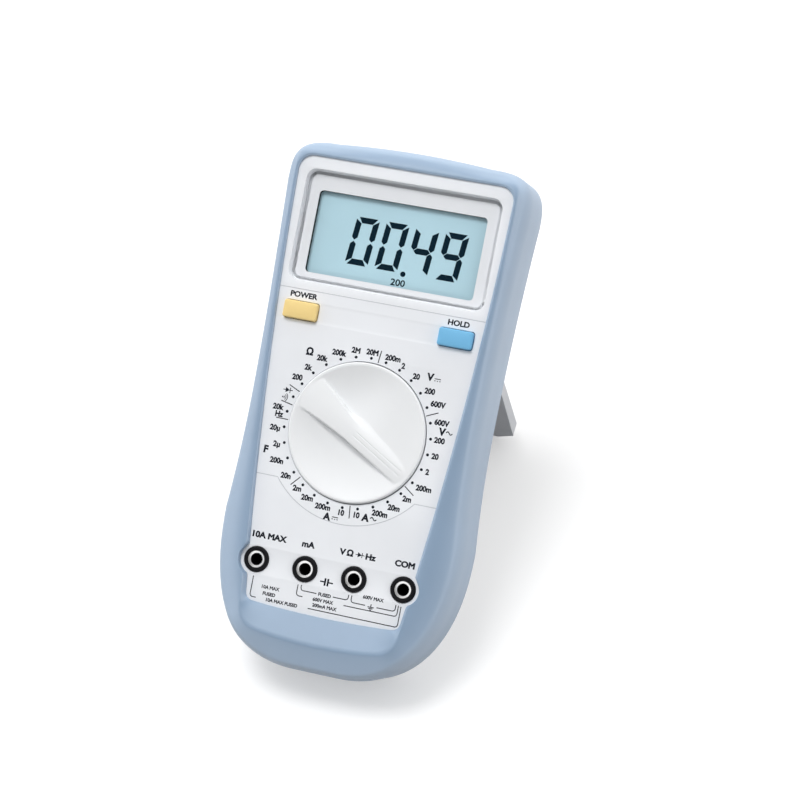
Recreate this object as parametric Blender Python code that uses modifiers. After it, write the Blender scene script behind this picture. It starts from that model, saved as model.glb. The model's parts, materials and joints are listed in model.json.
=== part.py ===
"""A handheld digital multimeter in a moulded boot, standing on its open rear stand.

The meter is drawn in its own frame: X across the face, Y up the face, Z out of the face, with
the origin at the dial's centre on the panel. One empty leans that frame back to the angle at
which the boot's heel and the stand's foot both lie on the floor.
"""

import math

import bmesh
import bpy
from mathutils import Matrix, Vector

MM = 0.001

# Clearances between pieces
FIT = 0.3 * MM
SEAT_GAP = 0.4 * MM

# Boot: the soft shell round the meter, with its outline measured from the dial's centre
BOOT_TOP = 106.3 * MM
BOOT_BOTTOM = -90.7 * MM
BOOT_DEPTH = 33.0 * MM
BOOT_WALL = 4.5 * MM
BOOT_TOP_HALF_WIDTH = 47.0 * MM
BOOT_WAIST_HALF_WIDTH = 44.6 * MM
BOOT_LOW_HALF_WIDTH = 46.6 * MM
BOOT_WAIST_Y = 8.0 * MM
BOOT_LOW_Y = -36.0 * MM
BOOT_TOP_ARCH = 1.2 * MM
BOOT_TOP_CORNER = (17.5 * MM, 16.5 * MM)
BOOT_TOP_CORNER_POWER = 3.0
BOOT_BOTTOM_FLAT = 8.0 * MM
BOOT_BOTTOM_POWER = 2.35
BOOT_EDGE_ROUND = 3.0 * MM
BOOT_EDGE_DROP = 10.0 * MM
BOOT_BEZEL_FALL = 0.42
BOOT_BEZEL_BOW = 1.6
BOOT_CURVE_STEPS = (0.35, 0.7, 1.0)
BOOT_CREST_TOP = 1.1 * MM
BOOT_CREST_BOTTOM = 4.0 * MM
BOOT_CREST_POWER = 4
BOOT_LIP_EDGE = 0.6 * MM
BOOT_LIP = 2.0 * MM
BOOT_SEAT_MARGIN = 0.4 * MM
BOOT_CREST_SETBACK = 0.7 * MM
BOOT_REAR_RIM = 10.5 * MM
BOOT_REAR_CHAMFER = 4.0 * MM
SCALLOP_MARGIN = 1.4 * MM

# Window in the boot's front, and the dished chin below it
WINDOW_TOP = 98.5 * MM
WINDOW_BOTTOM = -69.9 * MM
WINDOW_TOP_BEZEL = 5.4 * MM
WINDOW_LOW_BEZEL = 17.3 * MM
WINDOW_BOW = 0.76
WINDOW_SAG = 3.2 * MM
WINDOW_CORNER = 5.5 * MM
WINDOW_LOW_CORNER = 5.0 * MM
CHIN_DROP = 10.1 * MM
CHIN_CORNER = 8.0 * MM

# Front and back housings
CASE_DEPTH = 30.6 * MM
CASE_WALL = 2.0 * MM
PANEL_THICK = 2.2 * MM
PARTING_DEPTH = 14.0 * MM
PARTING_LIP = 1.4 * MM
SCREW_TOP_INSET = (14.0 * MM, 11.8 * MM)
SCREW_LOW_INSET = (22.6 * MM, 16.7 * MM)
BOSS_RADIUS = 3.0 * MM
POST_RADIUS = 3.6 * MM
SCREW_SHANK = 1.2 * MM
SCREW_HEAD = 2.6 * MM
SCREW_HEAD_THICK = 1.8 * MM
SCREW_SEAT_DEPTH = 23.6 * MM
SCREW_BITE = 7.0 * MM
SCREW_CROWN_RADIUS = 0.7
SCREW_CROWN_START = 0.6

# Display: a clear lens seated in a sloped pocket, with the glass and its frame behind
POCKET_CENTRE_Y = 72.8 * MM
POCKET_HEIGHT = 42.0 * MM
POCKET_MARGIN = 3.7 * MM
POCKET_SLOPE_WIDTH = 0.5 * MM
POCKET_DEPTH = 1.7 * MM
POCKET_CORNER = 4.0 * MM
LENS_THICK = 1.2 * MM
LENS_LEDGE = 1.4 * MM
GLASS_CENTRE_Y = 71.0 * MM
GLASS_MARGIN = 3.9 * MM
GLASS_HEIGHT = 33.2 * MM
GLASS_THICK = 1.1 * MM
GLASS_GAP = 2.1 * MM
FRAME_BORDER = 2.4 * MM
STRIP_WIDTH = 2.2 * MM
STRIP_INSET = 4.0 * MM

# Dial knob and the rotary switch under it
KNOB_RADIUS = 26.1 * MM
KNOB_GAP = 0.35 * MM
KNOB_RISE = 1.3 * MM
KNOB_RIM = 1.2 * MM
KNOB_CHAMFER = 0.5 * MM
KNOB_DISH = 4.0 * MM
KNOB_SKIN = 1.2 * MM
KNOB_BAR_WIDE = 6.7 * MM
KNOB_BAR_WAIST = 3.6 * MM
KNOB_BAR_NARROW = 2.6 * MM
KNOB_BAR_CROWN = 0.6 * MM
KNOB_BAR_DRAFT = 0.6 * MM
KNOB_BAR_PINCH = 0.35
KNOB_ANGLE = 150.0
HUB_RADIUS = 5.0 * MM
HUB_FLAT = 4.0 * MM
WELL_FLOOR = 1.4 * MM
WELL_WALL = 1.6 * MM
DETENTS = 30
DETENT_RADIUS = 21.0 * MM
DETENT_DEPTH = 0.2 * MM
DETENT_WALL = 2.2 * MM
ROTOR_RADIUS = 18.8 * MM
ROTOR_THICK = 2.1 * MM
BALL_RADIUS = 0.8 * MM
SPRING_TURNS = 4
SPRING_LENGTH = 4.0 * MM
SPRING_RADIUS = 0.55 * MM
SPRING_WIRE = 0.14 * MM
WIPER_COUNT = 3
WIPER_START = 30.0
WIPER_RADIUS = 12.0 * MM
WIPER_LENGTH = 8.0 * MM
WIPER_WIDTH = 1.8 * MM
WIPER_THICK = 0.2 * MM
KNOB_SCREW_HEAD = 6.4 * MM
KNOB_SCREW_HEAD_THICK = 1.2 * MM

# Push buttons and their switches
BUTTON_X = 30.0 * MM
BUTTON_Y = 40.7 * MM
BUTTON_WIDTH = 13.0 * MM
BUTTON_HEIGHT = 6.6 * MM
BUTTON_RISE = 2.2 * MM
BUTTON_TRAVEL = 2.0 * MM
BUTTON_ROUND = 0.7 * MM
BUTTON_FLANGE = 0.8 * MM
BUTTON_FLANGE_THICK = 0.8 * MM
SWITCH_SIDE = 9.0 * MM
PLUNGER_RADIUS = 1.5 * MM
PLUNGER_OVERLAP = 0.6 * MM

# Input sockets
SOCKET_PITCH = 19.0 * MM
SOCKET_COUNT = 4
SOCKET_Y = -53.0 * MM
COLLAR_RADIUS = 4.75 * MM
COLLAR_RISE = 0.8 * MM
COLLAR_FLANGE = 1.2 * MM
COLLAR_FLANGE_THICK = 1.2 * MM
SLEEVE_RADIUS = 3.15 * MM
SLEEVE_BORE = 2.1 * MM
SLEEVE_FLANGE = 1.2 * MM
SLEEVE_FLANGE_THICK = 1.0 * MM
SLEEVE_DEPTH = 22.0 * MM
SLEEVE_FLOOR = 1.2 * MM

# Circuit board and what it carries on its back
BOARD_DEPTH = 8.8 * MM
BOARD_THICK = 1.6 * MM
BOARD_MARGIN = 1.5 * MM
BOARD_TOP = 90.6 * MM
BOARD_BOTTOM = -62.0 * MM
BOARD_CORNER = 5.0 * MM
FUSE_Y = -38.0 * MM
FUSE_LARGE = (-15.0 * MM, 3.15 * MM, 32.0 * MM)
FUSE_SMALL = (18.0 * MM, 2.6 * MM, 20.0 * MM)
FUSE_STANDOFF = 1.6 * MM
CLIP_THICK = 0.5 * MM
CLIP_WIDTH = 5.0 * MM
CLIP_INSET = 1.0 * MM
CLIP_WRAP = 40.0
CHIP_PLACE = (-17.0 * MM, 22.0 * MM)
CHIP_SIDE = 14.0 * MM
CHIP_THICK = 2.2 * MM
BUZZER_PLACE = (19.0 * MM, 22.0 * MM)
BUZZER_RADIUS = 9.0 * MM
BUZZER_THICK = 3.0 * MM
CAPACITOR_PLACE = (28.0 * MM, -4.0 * MM)
CAPACITOR_RADIUS = 2.5 * MM
CAPACITOR_HEIGHT = 6.0 * MM
SHUNT_WIRE = 0.8 * MM
SHUNT_SPAN = 14.0 * MM
SHUNT_HEIGHT = 6.5 * MM
SHUNT_X = -14.0 * MM
SHUNT_Y = -46.4 * MM

# Battery, its snap and the bay in the back housing
BATTERY_LENGTH = 46.4 * MM
BATTERY_HEIGHT = 26.5 * MM
BATTERY_THICK = 17.5 * MM
BATTERY_Y = 73.5 * MM
BATTERY_ROUND = 1.5 * MM
STUD_RADII = (2.8 * MM, 4.2 * MM)
STUD_SPACING = 12.7 * MM
STUD_LENGTH = 2.0 * MM
SNAP_THICK = 4.3 * MM
SNAP_WIDTH = 24.0 * MM
SNAP_HEIGHT = 12.0 * MM
LEAD_RADIUS = 0.7 * MM
LEAD_SPACING = 3.0 * MM
LEAD_REACH = 4.5 * MM
BAY_WALL = 1.4 * MM
COVER_THICK = 1.7 * MM
COVER_LEDGE = 1.8 * MM
COVER_TAB = 6.4 * MM
COVER_CORNER = 2.0 * MM
COVER_SCREW_SHANK = 1.0 * MM
COVER_SCREW_HEAD = 2.0 * MM
COVER_SCREW_LENGTH = 6.0 * MM
COVER_BOSS = 2.4 * MM

# Tilt stand: a tray-shaped leg hinged in a recess of the back housing
STAND_LENGTH = 108.3 * MM
STAND_HALF_WIDTH = 32.5 * MM
STAND_OPEN = 68.9
STAND_HINGE_Y = 49.8 * MM
STAND_HINGE_DEPTH = 28.0 * MM
STAND_INNER = 1.3 * MM
STAND_PLATE = 2.2 * MM
STAND_FLANGE = 2.0 * MM
STAND_FLANGE_TOP = 3.6 * MM
STAND_FLANGE_FOOT = 6.0 * MM
STAND_HEEL = 3.0 * MM
STAND_FOOT_HALF_WIDTH = 21.0 * MM
STAND_FOOT_CLIP = 4.0 * MM
STAND_PIN_RADIUS = 1.6 * MM
STAND_PIN_REACH = 2.2 * MM
STAND_PIN_PLAY = 0.25 * MM
RECESS_WALL = 1.8 * MM
RECESS_CHEEK = 3.5 * MM

# Steps round curves
TOP_STEPS = 3
CORNER_STEPS = 7
SIDE_STEPS = 6
SAG_STEPS = 3
BOTTOM_STEPS = 10
FILLET_STEPS = 3
ROUND_STEPS = 18
KNOB_STEPS = 40
SMALL_STEPS = 12
DISH_STEPS = 6
BAR_STEPS = 8
BALL_RINGS = 6
SPRING_STEPS = 6
LEAD_STEPS = 6
CLIP_STEPS = 8
SHUNT_STEPS = 8

# How near points are welded, and how flat neighbouring faces are merged
WELD = 0.001 * MM
FLAT_ANGLE = math.radians(0.05)

# Places that follow from the sizes above
PANEL_BACK = -PANEL_THICK
BOARD_FRONT = -BOARD_DEPTH
BOARD_BACK = BOARD_FRONT - BOARD_THICK
BOARD_UNDERSIDE = BOARD_BACK - FIT
CASE_BACK = -CASE_DEPTH
CASE_BACK_INSIDE = CASE_BACK + CASE_WALL
CASE_INSET = BOOT_WALL + FIT
SCREW_TOP = (BOOT_TOP_HALF_WIDTH - SCREW_TOP_INSET[0], BOOT_TOP - SCREW_TOP_INSET[1])
SCREW_LOW = (BOOT_LOW_HALF_WIDTH - SCREW_LOW_INSET[0], BOOT_BOTTOM + SCREW_LOW_INSET[1])
SCREW_PLACES = [(side * x, y) for x, y in (SCREW_TOP, SCREW_LOW) for side in (1, -1)]
WINDOW_TOP_HALF_WIDTH = BOOT_TOP_HALF_WIDTH - WINDOW_TOP_BEZEL
WINDOW_LOW_HALF_WIDTH = BOOT_LOW_HALF_WIDTH - WINDOW_LOW_BEZEL
POCKET_HALF_WIDTH = WINDOW_TOP_HALF_WIDTH - POCKET_MARGIN
GLASS_HALF_WIDTH = POCKET_HALF_WIDTH - GLASS_MARGIN
BOARD_HALF_WIDTH = BOOT_WAIST_HALF_WIDTH - CASE_INSET - CASE_WALL - BOARD_MARGIN
SOCKET_PLACES = [((i - (SOCKET_COUNT - 1) / 2) * SOCKET_PITCH, SOCKET_Y) for i in range(SOCKET_COUNT)]
KNOB_BOTTOM = KNOB_RISE - KNOB_DISH - KNOB_SKIN
WELL_TOP = KNOB_BOTTOM - FIT
WELL_BOTTOM = WELL_TOP - WELL_FLOOR
ROTOR_TOP = WELL_BOTTOM - FIT
ROTOR_BOTTOM = ROTOR_TOP - ROTOR_THICK
WELL_RADIUS = KNOB_RADIUS + KNOB_GAP
LENS_FRONT = -POCKET_DEPTH
LENS_BACK = LENS_FRONT - LENS_THICK
LEDGE_BACK = LENS_BACK - FIT - LENS_LEDGE
GLASS_FRONT = LENS_BACK - GLASS_GAP
GLASS_BACK = GLASS_FRONT - GLASS_THICK
COVER_BACK = CASE_BACK
COVER_FRONT = COVER_BACK + COVER_THICK
COVER_SEAT = COVER_FRONT + FIT
BATTERY_BACK = COVER_FRONT + SEAT_GAP
BATTERY_FRONT = BATTERY_BACK + BATTERY_THICK
BAY_HALF_WIDTH = (BATTERY_LENGTH + STUD_LENGTH + SNAP_THICK) / 2 + SEAT_GAP
BAY_HALF_HEIGHT = BATTERY_HEIGHT / 2 + SEAT_GAP
BATTERY_LEFT = -BAY_HALF_WIDTH + SEAT_GAP


def stand_direction(angle):
    """Along the stand and out of its back, as (y, z) in the meter's frame, at an opening angle."""
    along = Vector((-math.cos(angle), -math.sin(angle)))
    outward = Vector((math.sin(angle), -math.cos(angle)))
    return along, outward


def recline_angle():
    """Lean at which the boot's heel and the stand's foot are level."""
    along, outward = stand_direction(math.radians(STAND_OPEN))
    hinge = Vector((STAND_HINGE_Y, -STAND_HINGE_DEPTH))
    foot = hinge + along * STAND_LENGTH - outward * STAND_INNER
    heel = Vector((BOOT_BOTTOM + BOOT_REAR_CHAMFER, -BOOT_DEPTH))
    return math.atan2(heel.y - foot.y, foot.x - heel.x), heel


RECLINE, HEEL = recline_angle()
STAND_LEAN = math.radians(STAND_OPEN) - (math.pi / 2 - RECLINE)
STAND_END = STAND_LENGTH + STAND_FLANGE_FOOT * math.tan(STAND_LEAN)


def clear_scene():
    for obj in list(bpy.data.objects):
        bpy.data.objects.remove(obj)
    for collection in list(bpy.data.collections):
        bpy.data.collections.remove(collection)


def new_collection(name):
    collection = bpy.data.collections.new(name)
    bpy.context.scene.collection.children.link(collection)
    return collection


clear_scene()
PARTS = new_collection("multimeter")
CUTTERS = new_collection("multimeter_cutters")


def finish(name, colour, roughness, metallic=0.0):
    """A plain Principled material."""
    material = bpy.data.materials.new(name)
    material.use_nodes = True
    shader = material.node_tree.nodes["Principled BSDF"]
    shader.inputs["Base Color"].default_value = (*colour, 1.0)
    shader.inputs["Roughness"].default_value = roughness
    shader.inputs["Metallic"].default_value = metallic
    material.diffuse_color = (*colour, 1.0)
    return material


BOOT_RUBBER = finish("boot_rubber", (0.27, 0.40, 0.57), 0.55)
CASE_PLASTIC = finish("case_plastic", (0.80, 0.82, 0.87), 0.45)
BUTTON_YELLOW = finish("button_yellow", (0.93, 0.62, 0.16), 0.35)
BUTTON_BLUE = finish("button_blue", (0.10, 0.40, 0.70), 0.35)
BLACK_PLASTIC = finish("black_plastic", (0.015, 0.015, 0.017), 0.4)
NICKEL = finish("nickel_plate", (0.75, 0.74, 0.71), 0.25, 1.0)
STEEL = finish("steel", (0.60, 0.60, 0.60), 0.3, 1.0)
BRONZE = finish("spring_bronze", (0.72, 0.45, 0.20), 0.3, 1.0)
CLEAR = finish("clear_acrylic", (0.90, 0.93, 0.94), 0.05)
DISPLAY_GLASS = finish("display_glass", (0.42, 0.60, 0.66), 0.15)
BOARD_GREEN = finish("board_green", (0.03, 0.18, 0.07), 0.5)
ELASTOMER = finish("elastomer", (0.35, 0.33, 0.30), 0.7)
FUSE_CERAMIC = finish("fuse_ceramic", (0.85, 0.83, 0.78), 0.4)
BATTERY_JACKET = finish("battery_jacket", (0.10, 0.10, 0.11), 0.35)
LEAD_RED = finish("lead_red", (0.60, 0.03, 0.03), 0.45)


def empty(name, parent, location=(0.0, 0.0, 0.0), turn=(0.0, 0.0, 0.0)):
    holder = bpy.data.objects.new(name, None)
    PARTS.objects.link(holder)
    holder.parent = parent
    holder.location = location
    holder.rotation_euler = turn
    return holder


METER = empty("meter_frame", None, turn=(RECLINE, 0.0, 0.0))
DIAL = empty("dial_axis", METER, turn=(0.0, 0.0, math.radians(KNOB_ANGLE)))
STAND = empty("stand_hinge", METER, (0.0, STAND_HINGE_Y, -STAND_HINGE_DEPTH),
              (math.radians(STAND_OPEN), 0.0, 0.0))


def part(name, mesh, material, parent=None, location=(0.0, 0.0, 0.0)):
    """A named piece of the meter."""
    obj = bpy.data.objects.new(name, mesh)
    PARTS.objects.link(obj)
    obj.parent = parent or METER
    obj.location = location
    mesh.materials.clear()
    mesh.materials.append(material)
    return obj


def cutter(mesh, parent=None, location=(0.0, 0.0, 0.0)):
    """A tool body for a Boolean."""
    obj = bpy.data.objects.new("tool_" + mesh.name, mesh)
    CUTTERS.objects.link(obj)
    obj.parent = parent or METER
    obj.location = location
    obj.hide_render = True
    obj.display_type = "WIRE"
    return obj


def boolean(obj, operation, tool):
    modifier = obj.modifiers.new(operation.lower(), "BOOLEAN")
    modifier.operation = operation
    modifier.object = tool
    modifier.solver = "EXACT"


def cut(obj, *tools):
    for tool in tools:
        boolean(obj, "DIFFERENCE", tool)


def join(obj, *tools):
    for tool in tools:
        boolean(obj, "UNION", tool)


def tidy_mesh(mesh):
    """Welds loose caps, merges flat neighbouring faces and turns every face outwards."""
    shape = bmesh.new()
    shape.from_mesh(mesh)
    bmesh.ops.remove_doubles(shape, verts=shape.verts, dist=WELD)
    bmesh.ops.dissolve_limit(shape, angle_limit=FLAT_ANGLE, verts=shape.verts, edges=shape.edges)
    bmesh.ops.recalc_face_normals(shape, faces=shape.faces)
    shape.to_mesh(mesh)
    shape.free()
    return mesh


def baked(obj):
    """The evaluated mesh of a helper object, which is then removed."""
    source = obj.evaluated_get(bpy.context.evaluated_depsgraph_get())
    mesh = bpy.data.meshes.new_from_object(source)
    data = obj.data
    bpy.data.objects.remove(obj)
    if isinstance(data, bpy.types.Curve):
        bpy.data.curves.remove(data)
    else:
        bpy.data.meshes.remove(data)
    return tidy_mesh(mesh)


def helper(data):
    obj = bpy.data.objects.new("helper", data)
    bpy.context.scene.collection.objects.link(obj)
    return obj


def prism(outlines, low, high):
    """A flat outline, or one with holes, given a thickness along Z."""
    if not isinstance(outlines[0], list):
        outlines = [outlines]
    curve = bpy.data.curves.new("prism", "CURVE")
    curve.dimensions = "2D"
    curve.fill_mode = "BOTH"
    curve.extrude = (high - low) / 2
    for outline in outlines:
        spline = curve.splines.new("POLY")
        spline.points.add(len(outline) - 1)
        for point, (x, y) in zip(spline.points, outline):
            point.co = (x, y, 0.0, 1.0)
        spline.use_cyclic_u = True
    mesh = baked(helper(curve))
    mesh.transform(Matrix.Translation((0.0, 0.0, (low + high) / 2)))
    return mesh


def prism_across(outline, left, right):
    """A (y, z) outline given a width along X."""
    mesh = prism(outline, left, right)
    mesh.transform(Matrix(((0, 0, 1, 0), (1, 0, 0, 0), (0, 1, 0, 0), (0, 0, 0, 1))))
    return mesh


def turned(profile, steps=ROUND_STEPS):
    """A closed (radius, z) profile spun round Z: both ends lie on the axis, or it is a loop."""
    on_axis = profile[0][0] == 0 and profile[-1][0] == 0
    count = len(profile)
    edges = [(i, i + 1) for i in range(count - 1)]
    if not on_axis:
        edges.append((count - 1, 0))
    mesh = bpy.data.meshes.new("turned")
    mesh.from_pydata([(r, 0.0, z) for r, z in profile], edges, [])
    obj = helper(mesh)
    spin = obj.modifiers.new("spin", "SCREW")
    spin.axis = "Z"
    spin.steps = steps
    spin.render_steps = steps
    spin.use_merge_vertices = True
    spin.merge_threshold = WELD
    return baked(obj)


def tube(points, radius, sides=2):
    """A round wire along points, with closed ends."""
    curve = bpy.data.curves.new("wire", "CURVE")
    curve.dimensions = "3D"
    curve.bevel_depth = radius
    curve.bevel_resolution = sides
    curve.use_fill_caps = True
    spline = curve.splines.new("POLY")
    spline.points.add(len(points) - 1)
    for point, place in zip(spline.points, points):
        point.co = (*place, 1.0)
    return baked(helper(curve))


def loft(rings, closed=False):
    """Faces between equal rings of points: closed round on itself, or capped at both ends."""
    count = len(rings[0])
    points = [point for ring in rings for point in ring]
    faces = []
    last = len(rings) if closed else len(rings) - 1
    for i in range(last):
        here = i * count
        there = ((i + 1) % len(rings)) * count
        for j in range(count):
            k = (j + 1) % count
            faces.append((here + j, here + k, there + k, there + j))
    if not closed:
        faces.append(tuple(range(count)))
        faces.append(tuple(range(len(points) - count, len(points))))
    mesh = bpy.data.meshes.new("loft")
    mesh.from_pydata(points, [], faces)
    return tidy_mesh(mesh)


def rounded(mesh, width, segments=2):
    """The same mesh with its sharp edges bevelled."""
    obj = helper(mesh)
    bevel = obj.modifiers.new("round", "BEVEL")
    bevel.width = width
    bevel.segments = segments
    bevel.limit_method = "ANGLE"
    return baked(obj)


def block(low, high):
    """A box between two corners."""
    mesh = bpy.data.meshes.new("block")
    shape = bmesh.new()
    bmesh.ops.create_cube(shape, size=1.0)
    size = [b - a for a, b in zip(low, high)]
    middle = [(a + b) / 2 for a, b in zip(low, high)]
    bmesh.ops.scale(shape, vec=size, verts=shape.verts)
    bmesh.ops.translate(shape, vec=middle, verts=shape.verts)
    shape.to_mesh(mesh)
    shape.free()
    return mesh


def cylinder(radius, low, high, steps=SMALL_STEPS):
    mesh = bpy.data.meshes.new("cylinder")
    shape = bmesh.new()
    bmesh.ops.create_cone(shape, cap_ends=True, segments=steps, radius1=radius, radius2=radius,
                          depth=high - low)
    bmesh.ops.translate(shape, vec=(0.0, 0.0, (low + high) / 2), verts=shape.verts)
    shape.to_mesh(mesh)
    shape.free()
    return mesh


def circle(radius, centre=(0.0, 0.0), steps=SMALL_STEPS):
    turns = [2 * math.pi * i / steps for i in range(steps)]
    return [(centre[0] + radius * math.cos(t), centre[1] + radius * math.sin(t)) for t in turns]


def rounded_outline(corners, radii, steps=FILLET_STEPS):
    """A convex outline with each corner replaced by an arc, or kept where its radius is 0."""
    points = []
    for i, (corner, radius) in enumerate(zip(corners, radii)):
        here = Vector(corner)
        if radius == 0:
            points.append(corner)
            continue
        back = (Vector(corners[i - 1]) - here).normalized()
        ahead = (Vector(corners[(i + 1) % len(corners)]) - here).normalized()
        half = back.angle(ahead) / 2
        centre = here + (back + ahead).normalized() * (radius / math.sin(half))
        first = here + back * (radius / math.tan(half)) - centre
        last = here + ahead * (radius / math.tan(half)) - centre
        turn = first.angle_signed(last)
        for step in range(steps + 1):
            arm = first.copy()
            arm.rotate(Matrix.Rotation(-turn * step / steps, 2))
            points.append(tuple(centre + arm))
    return points


def rectangle(half_width, low, high, radius, centre_x=0.0):
    corners = [(centre_x - half_width, low), (centre_x + half_width, low),
               (centre_x + half_width, high), (centre_x - half_width, high)]
    return rounded_outline(corners, [radius] * len(corners))


def boot_half_width(y):
    """The boot's side: a waist that opens to the top corner above and to the grip below."""
    top_corner_y = BOOT_TOP - BOOT_TOP_ARCH - BOOT_TOP_CORNER[1]
    if y > BOOT_WAIST_Y:
        share = (y - BOOT_WAIST_Y) / (top_corner_y - BOOT_WAIST_Y)
        end = BOOT_TOP_HALF_WIDTH
    else:
        share = (BOOT_WAIST_Y - y) / (BOOT_WAIST_Y - BOOT_LOW_Y)
        end = BOOT_LOW_HALF_WIDTH
    return BOOT_WAIST_HALF_WIDTH + (end - BOOT_WAIST_HALF_WIDTH) * share ** 2


def boot_outline():
    """The boot's outer outline, clockwise from the top middle."""
    corner_x = BOOT_TOP_HALF_WIDTH - BOOT_TOP_CORNER[0]
    corner_y = BOOT_TOP - BOOT_TOP_ARCH - BOOT_TOP_CORNER[1]
    half = []
    for i in range(TOP_STEPS):
        share = i / TOP_STEPS
        half.append((corner_x * share, BOOT_TOP - BOOT_TOP_ARCH * share ** 2))
    for i in range(CORNER_STEPS):
        turn = math.pi / 2 * i / CORNER_STEPS
        half.append((corner_x + BOOT_TOP_CORNER[0] * math.sin(turn) ** (2 / BOOT_TOP_CORNER_POWER),
                     corner_y + BOOT_TOP_CORNER[1] * math.cos(turn) ** (2 / BOOT_TOP_CORNER_POWER)))
    for i in range(SIDE_STEPS):
        y = corner_y + (BOOT_LOW_Y - corner_y) * i / SIDE_STEPS
        half.append((boot_half_width(y), y))
    for i in range(BOTTOM_STEPS + 1):
        turn = math.pi / 2 * i / BOTTOM_STEPS
        across = max(math.cos(turn), 0.0) ** (2 / BOOT_BOTTOM_POWER)
        down = math.sin(turn) ** (2 / BOOT_BOTTOM_POWER)
        half.append((BOOT_BOTTOM_FLAT + (BOOT_LOW_HALF_WIDTH - BOOT_BOTTOM_FLAT) * across,
                     BOOT_LOW_Y + (BOOT_BOTTOM - BOOT_LOW_Y) * down))
    return half + [(0.0, BOOT_BOTTOM)] + [(-x, y) for x, y in reversed(half[1:])]


BOOT_OUTLINE = boot_outline()


def inset(outline, distance):
    """A clockwise outline moved inwards by a distance."""
    moved = []
    count = len(outline)
    for i, (x, y) in enumerate(outline):
        before = Vector(outline[i - 1])
        after = Vector(outline[(i + 1) % count])
        along = (after - before).normalized()
        moved.append((x + along.y * distance, y - along.x * distance))
    return moved


def window_half_width(y):
    """The window narrows slowly below its top, then faster towards the chin."""
    share = (WINDOW_TOP - y) / (WINDOW_TOP - WINDOW_BOTTOM)
    narrowing = WINDOW_TOP_HALF_WIDTH - WINDOW_LOW_HALF_WIDTH
    return WINDOW_TOP_HALF_WIDTH - narrowing * ((1 - WINDOW_BOW) * share + WINDOW_BOW * share ** 2)


def window_outline(bottom, low_corner, margin):
    """The boot's window, grown by a margin: bowed sides and a shallow arc as its bottom edge."""
    top_corner = (WINDOW_TOP_HALF_WIDTH + margin, WINDOW_TOP + margin)
    narrow = window_half_width(bottom) + margin
    side = []
    for i in range(1, SIDE_STEPS):
        y = WINDOW_TOP + (bottom - WINDOW_TOP) * i / SIDE_STEPS
        side.append((window_half_width(y) + margin, y))
    shares = [i / SAG_STEPS for i in range(SAG_STEPS, -SAG_STEPS - 1, -1)]
    low = [(narrow * share, bottom + WINDOW_SAG * share ** 2) for share in shares]
    far_side = [(-x, y) for x, y in reversed(side)]
    corners = [(-top_corner[0], top_corner[1]), top_corner] + side + low + far_side
    upper = WINDOW_CORNER + margin
    plain = [0] * len(side)
    radii = [upper, upper] + plain + [low_corner] + [0] * (len(low) - 2) + [low_corner] + plain
    return rounded_outline(corners, radii, CORNER_STEPS)


def ray_hit(outline, start, towards):
    """Where a ray from a point inside an outline leaves it."""
    heading = Vector(towards) - Vector(start)
    for i, second in enumerate(outline):
        first = Vector(outline[i - 1])
        edge = Vector(second) - first
        cross = heading.x * edge.y - heading.y * edge.x
        if abs(cross) < 1e-15:
            continue
        gap = first - Vector(start)
        reach = (gap.x * edge.y - gap.y * edge.x) / cross
        share = (gap.x * heading.y - gap.y * heading.x) / cross
        if reach > 0 and -1e-9 <= share <= 1 + 1e-9:
            return Vector(start) + heading * reach
    return Vector(towards)


def boot_rays():
    """Points on the boot's spine from which each outline point is seen square on."""
    fan_top = BOOT_TOP - BOOT_TOP_HALF_WIDTH
    fan_low = BOOT_BOTTOM + BOOT_LOW_HALF_WIDTH
    return [(0.0, min(max(y, fan_low), fan_top)) for x, y in BOOT_OUTLINE]


def boot_lines():
    """For each outline point: shoulder, crest and window edge, then the crest's and shoulder's heights."""
    crest_path = window_outline(WINDOW_BOTTOM - CHIN_DROP, CHIN_CORNER, BOOT_CREST_SETBACK)
    window_path = window_outline(WINDOW_BOTTOM, WINDOW_LOW_CORNER, 0.0)
    lines = []
    shoulders = inset(BOOT_OUTLINE, BOOT_EDGE_ROUND)
    for start, point, shoulder in zip(boot_rays(), BOOT_OUTLINE, shoulders):
        crest_edge = ray_hit(crest_path, start, point)
        window_edge = ray_hit(window_path, start, point)
        share = (BOOT_TOP - crest_edge.y) / (BOOT_TOP - BOOT_BOTTOM)
        crest = BOOT_CREST_TOP + (BOOT_CREST_BOTTOM - BOOT_CREST_TOP) * share ** BOOT_CREST_POWER
        edge = crest - BOOT_BEZEL_FALL * (Vector(shoulder) - crest_edge).length
        lines.append((Vector(shoulder), crest_edge, window_edge, crest, edge))
    return lines


BOOT_LINES = boot_lines()
CASE_EDGE = [edge - BOOT_LIP for shoulder, crest_edge, window_edge, crest, edge in BOOT_LINES]


def panel_edge(margin):
    """The flat of the face panel, a little wider than the boot's window."""
    edges = []
    for (shoulder, crest_edge, window_edge, crest, edge), point in zip(BOOT_LINES, BOOT_OUTLINE):
        outward = (Vector(point) - window_edge).normalized()
        edges.append(tuple(window_edge + outward * margin))
    return edges


def boot_front(line, outer):
    """The boot's front at one point of its outline, from the window's edge out to its side."""
    shoulder, crest_edge, window_edge, crest, edge = line
    section = [(*window_edge, FIT), (*window_edge, FIT + BOOT_LIP_EDGE), (*crest_edge, crest)]
    for step in BOOT_CURVE_STEPS:
        fall = (crest - edge) * step ** BOOT_BEZEL_BOW
        section.append((*crest_edge.lerp(shoulder, step), crest - fall))
    slope = BOOT_BEZEL_FALL * BOOT_BEZEL_BOW * BOOT_EDGE_ROUND / BOOT_EDGE_DROP
    start = math.asin(slope / (1 - slope))
    for step in BOOT_CURVE_STEPS:
        turn = start + (math.pi / 2 - start) * step
        across = (math.sin(turn) - math.sin(start)) / (1 - math.sin(start))
        drop = BOOT_EDGE_DROP * (1 - math.cos(turn) / math.cos(start))
        section.append((*shoulder.lerp(Vector(outer), across), edge - drop))
    return section


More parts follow.
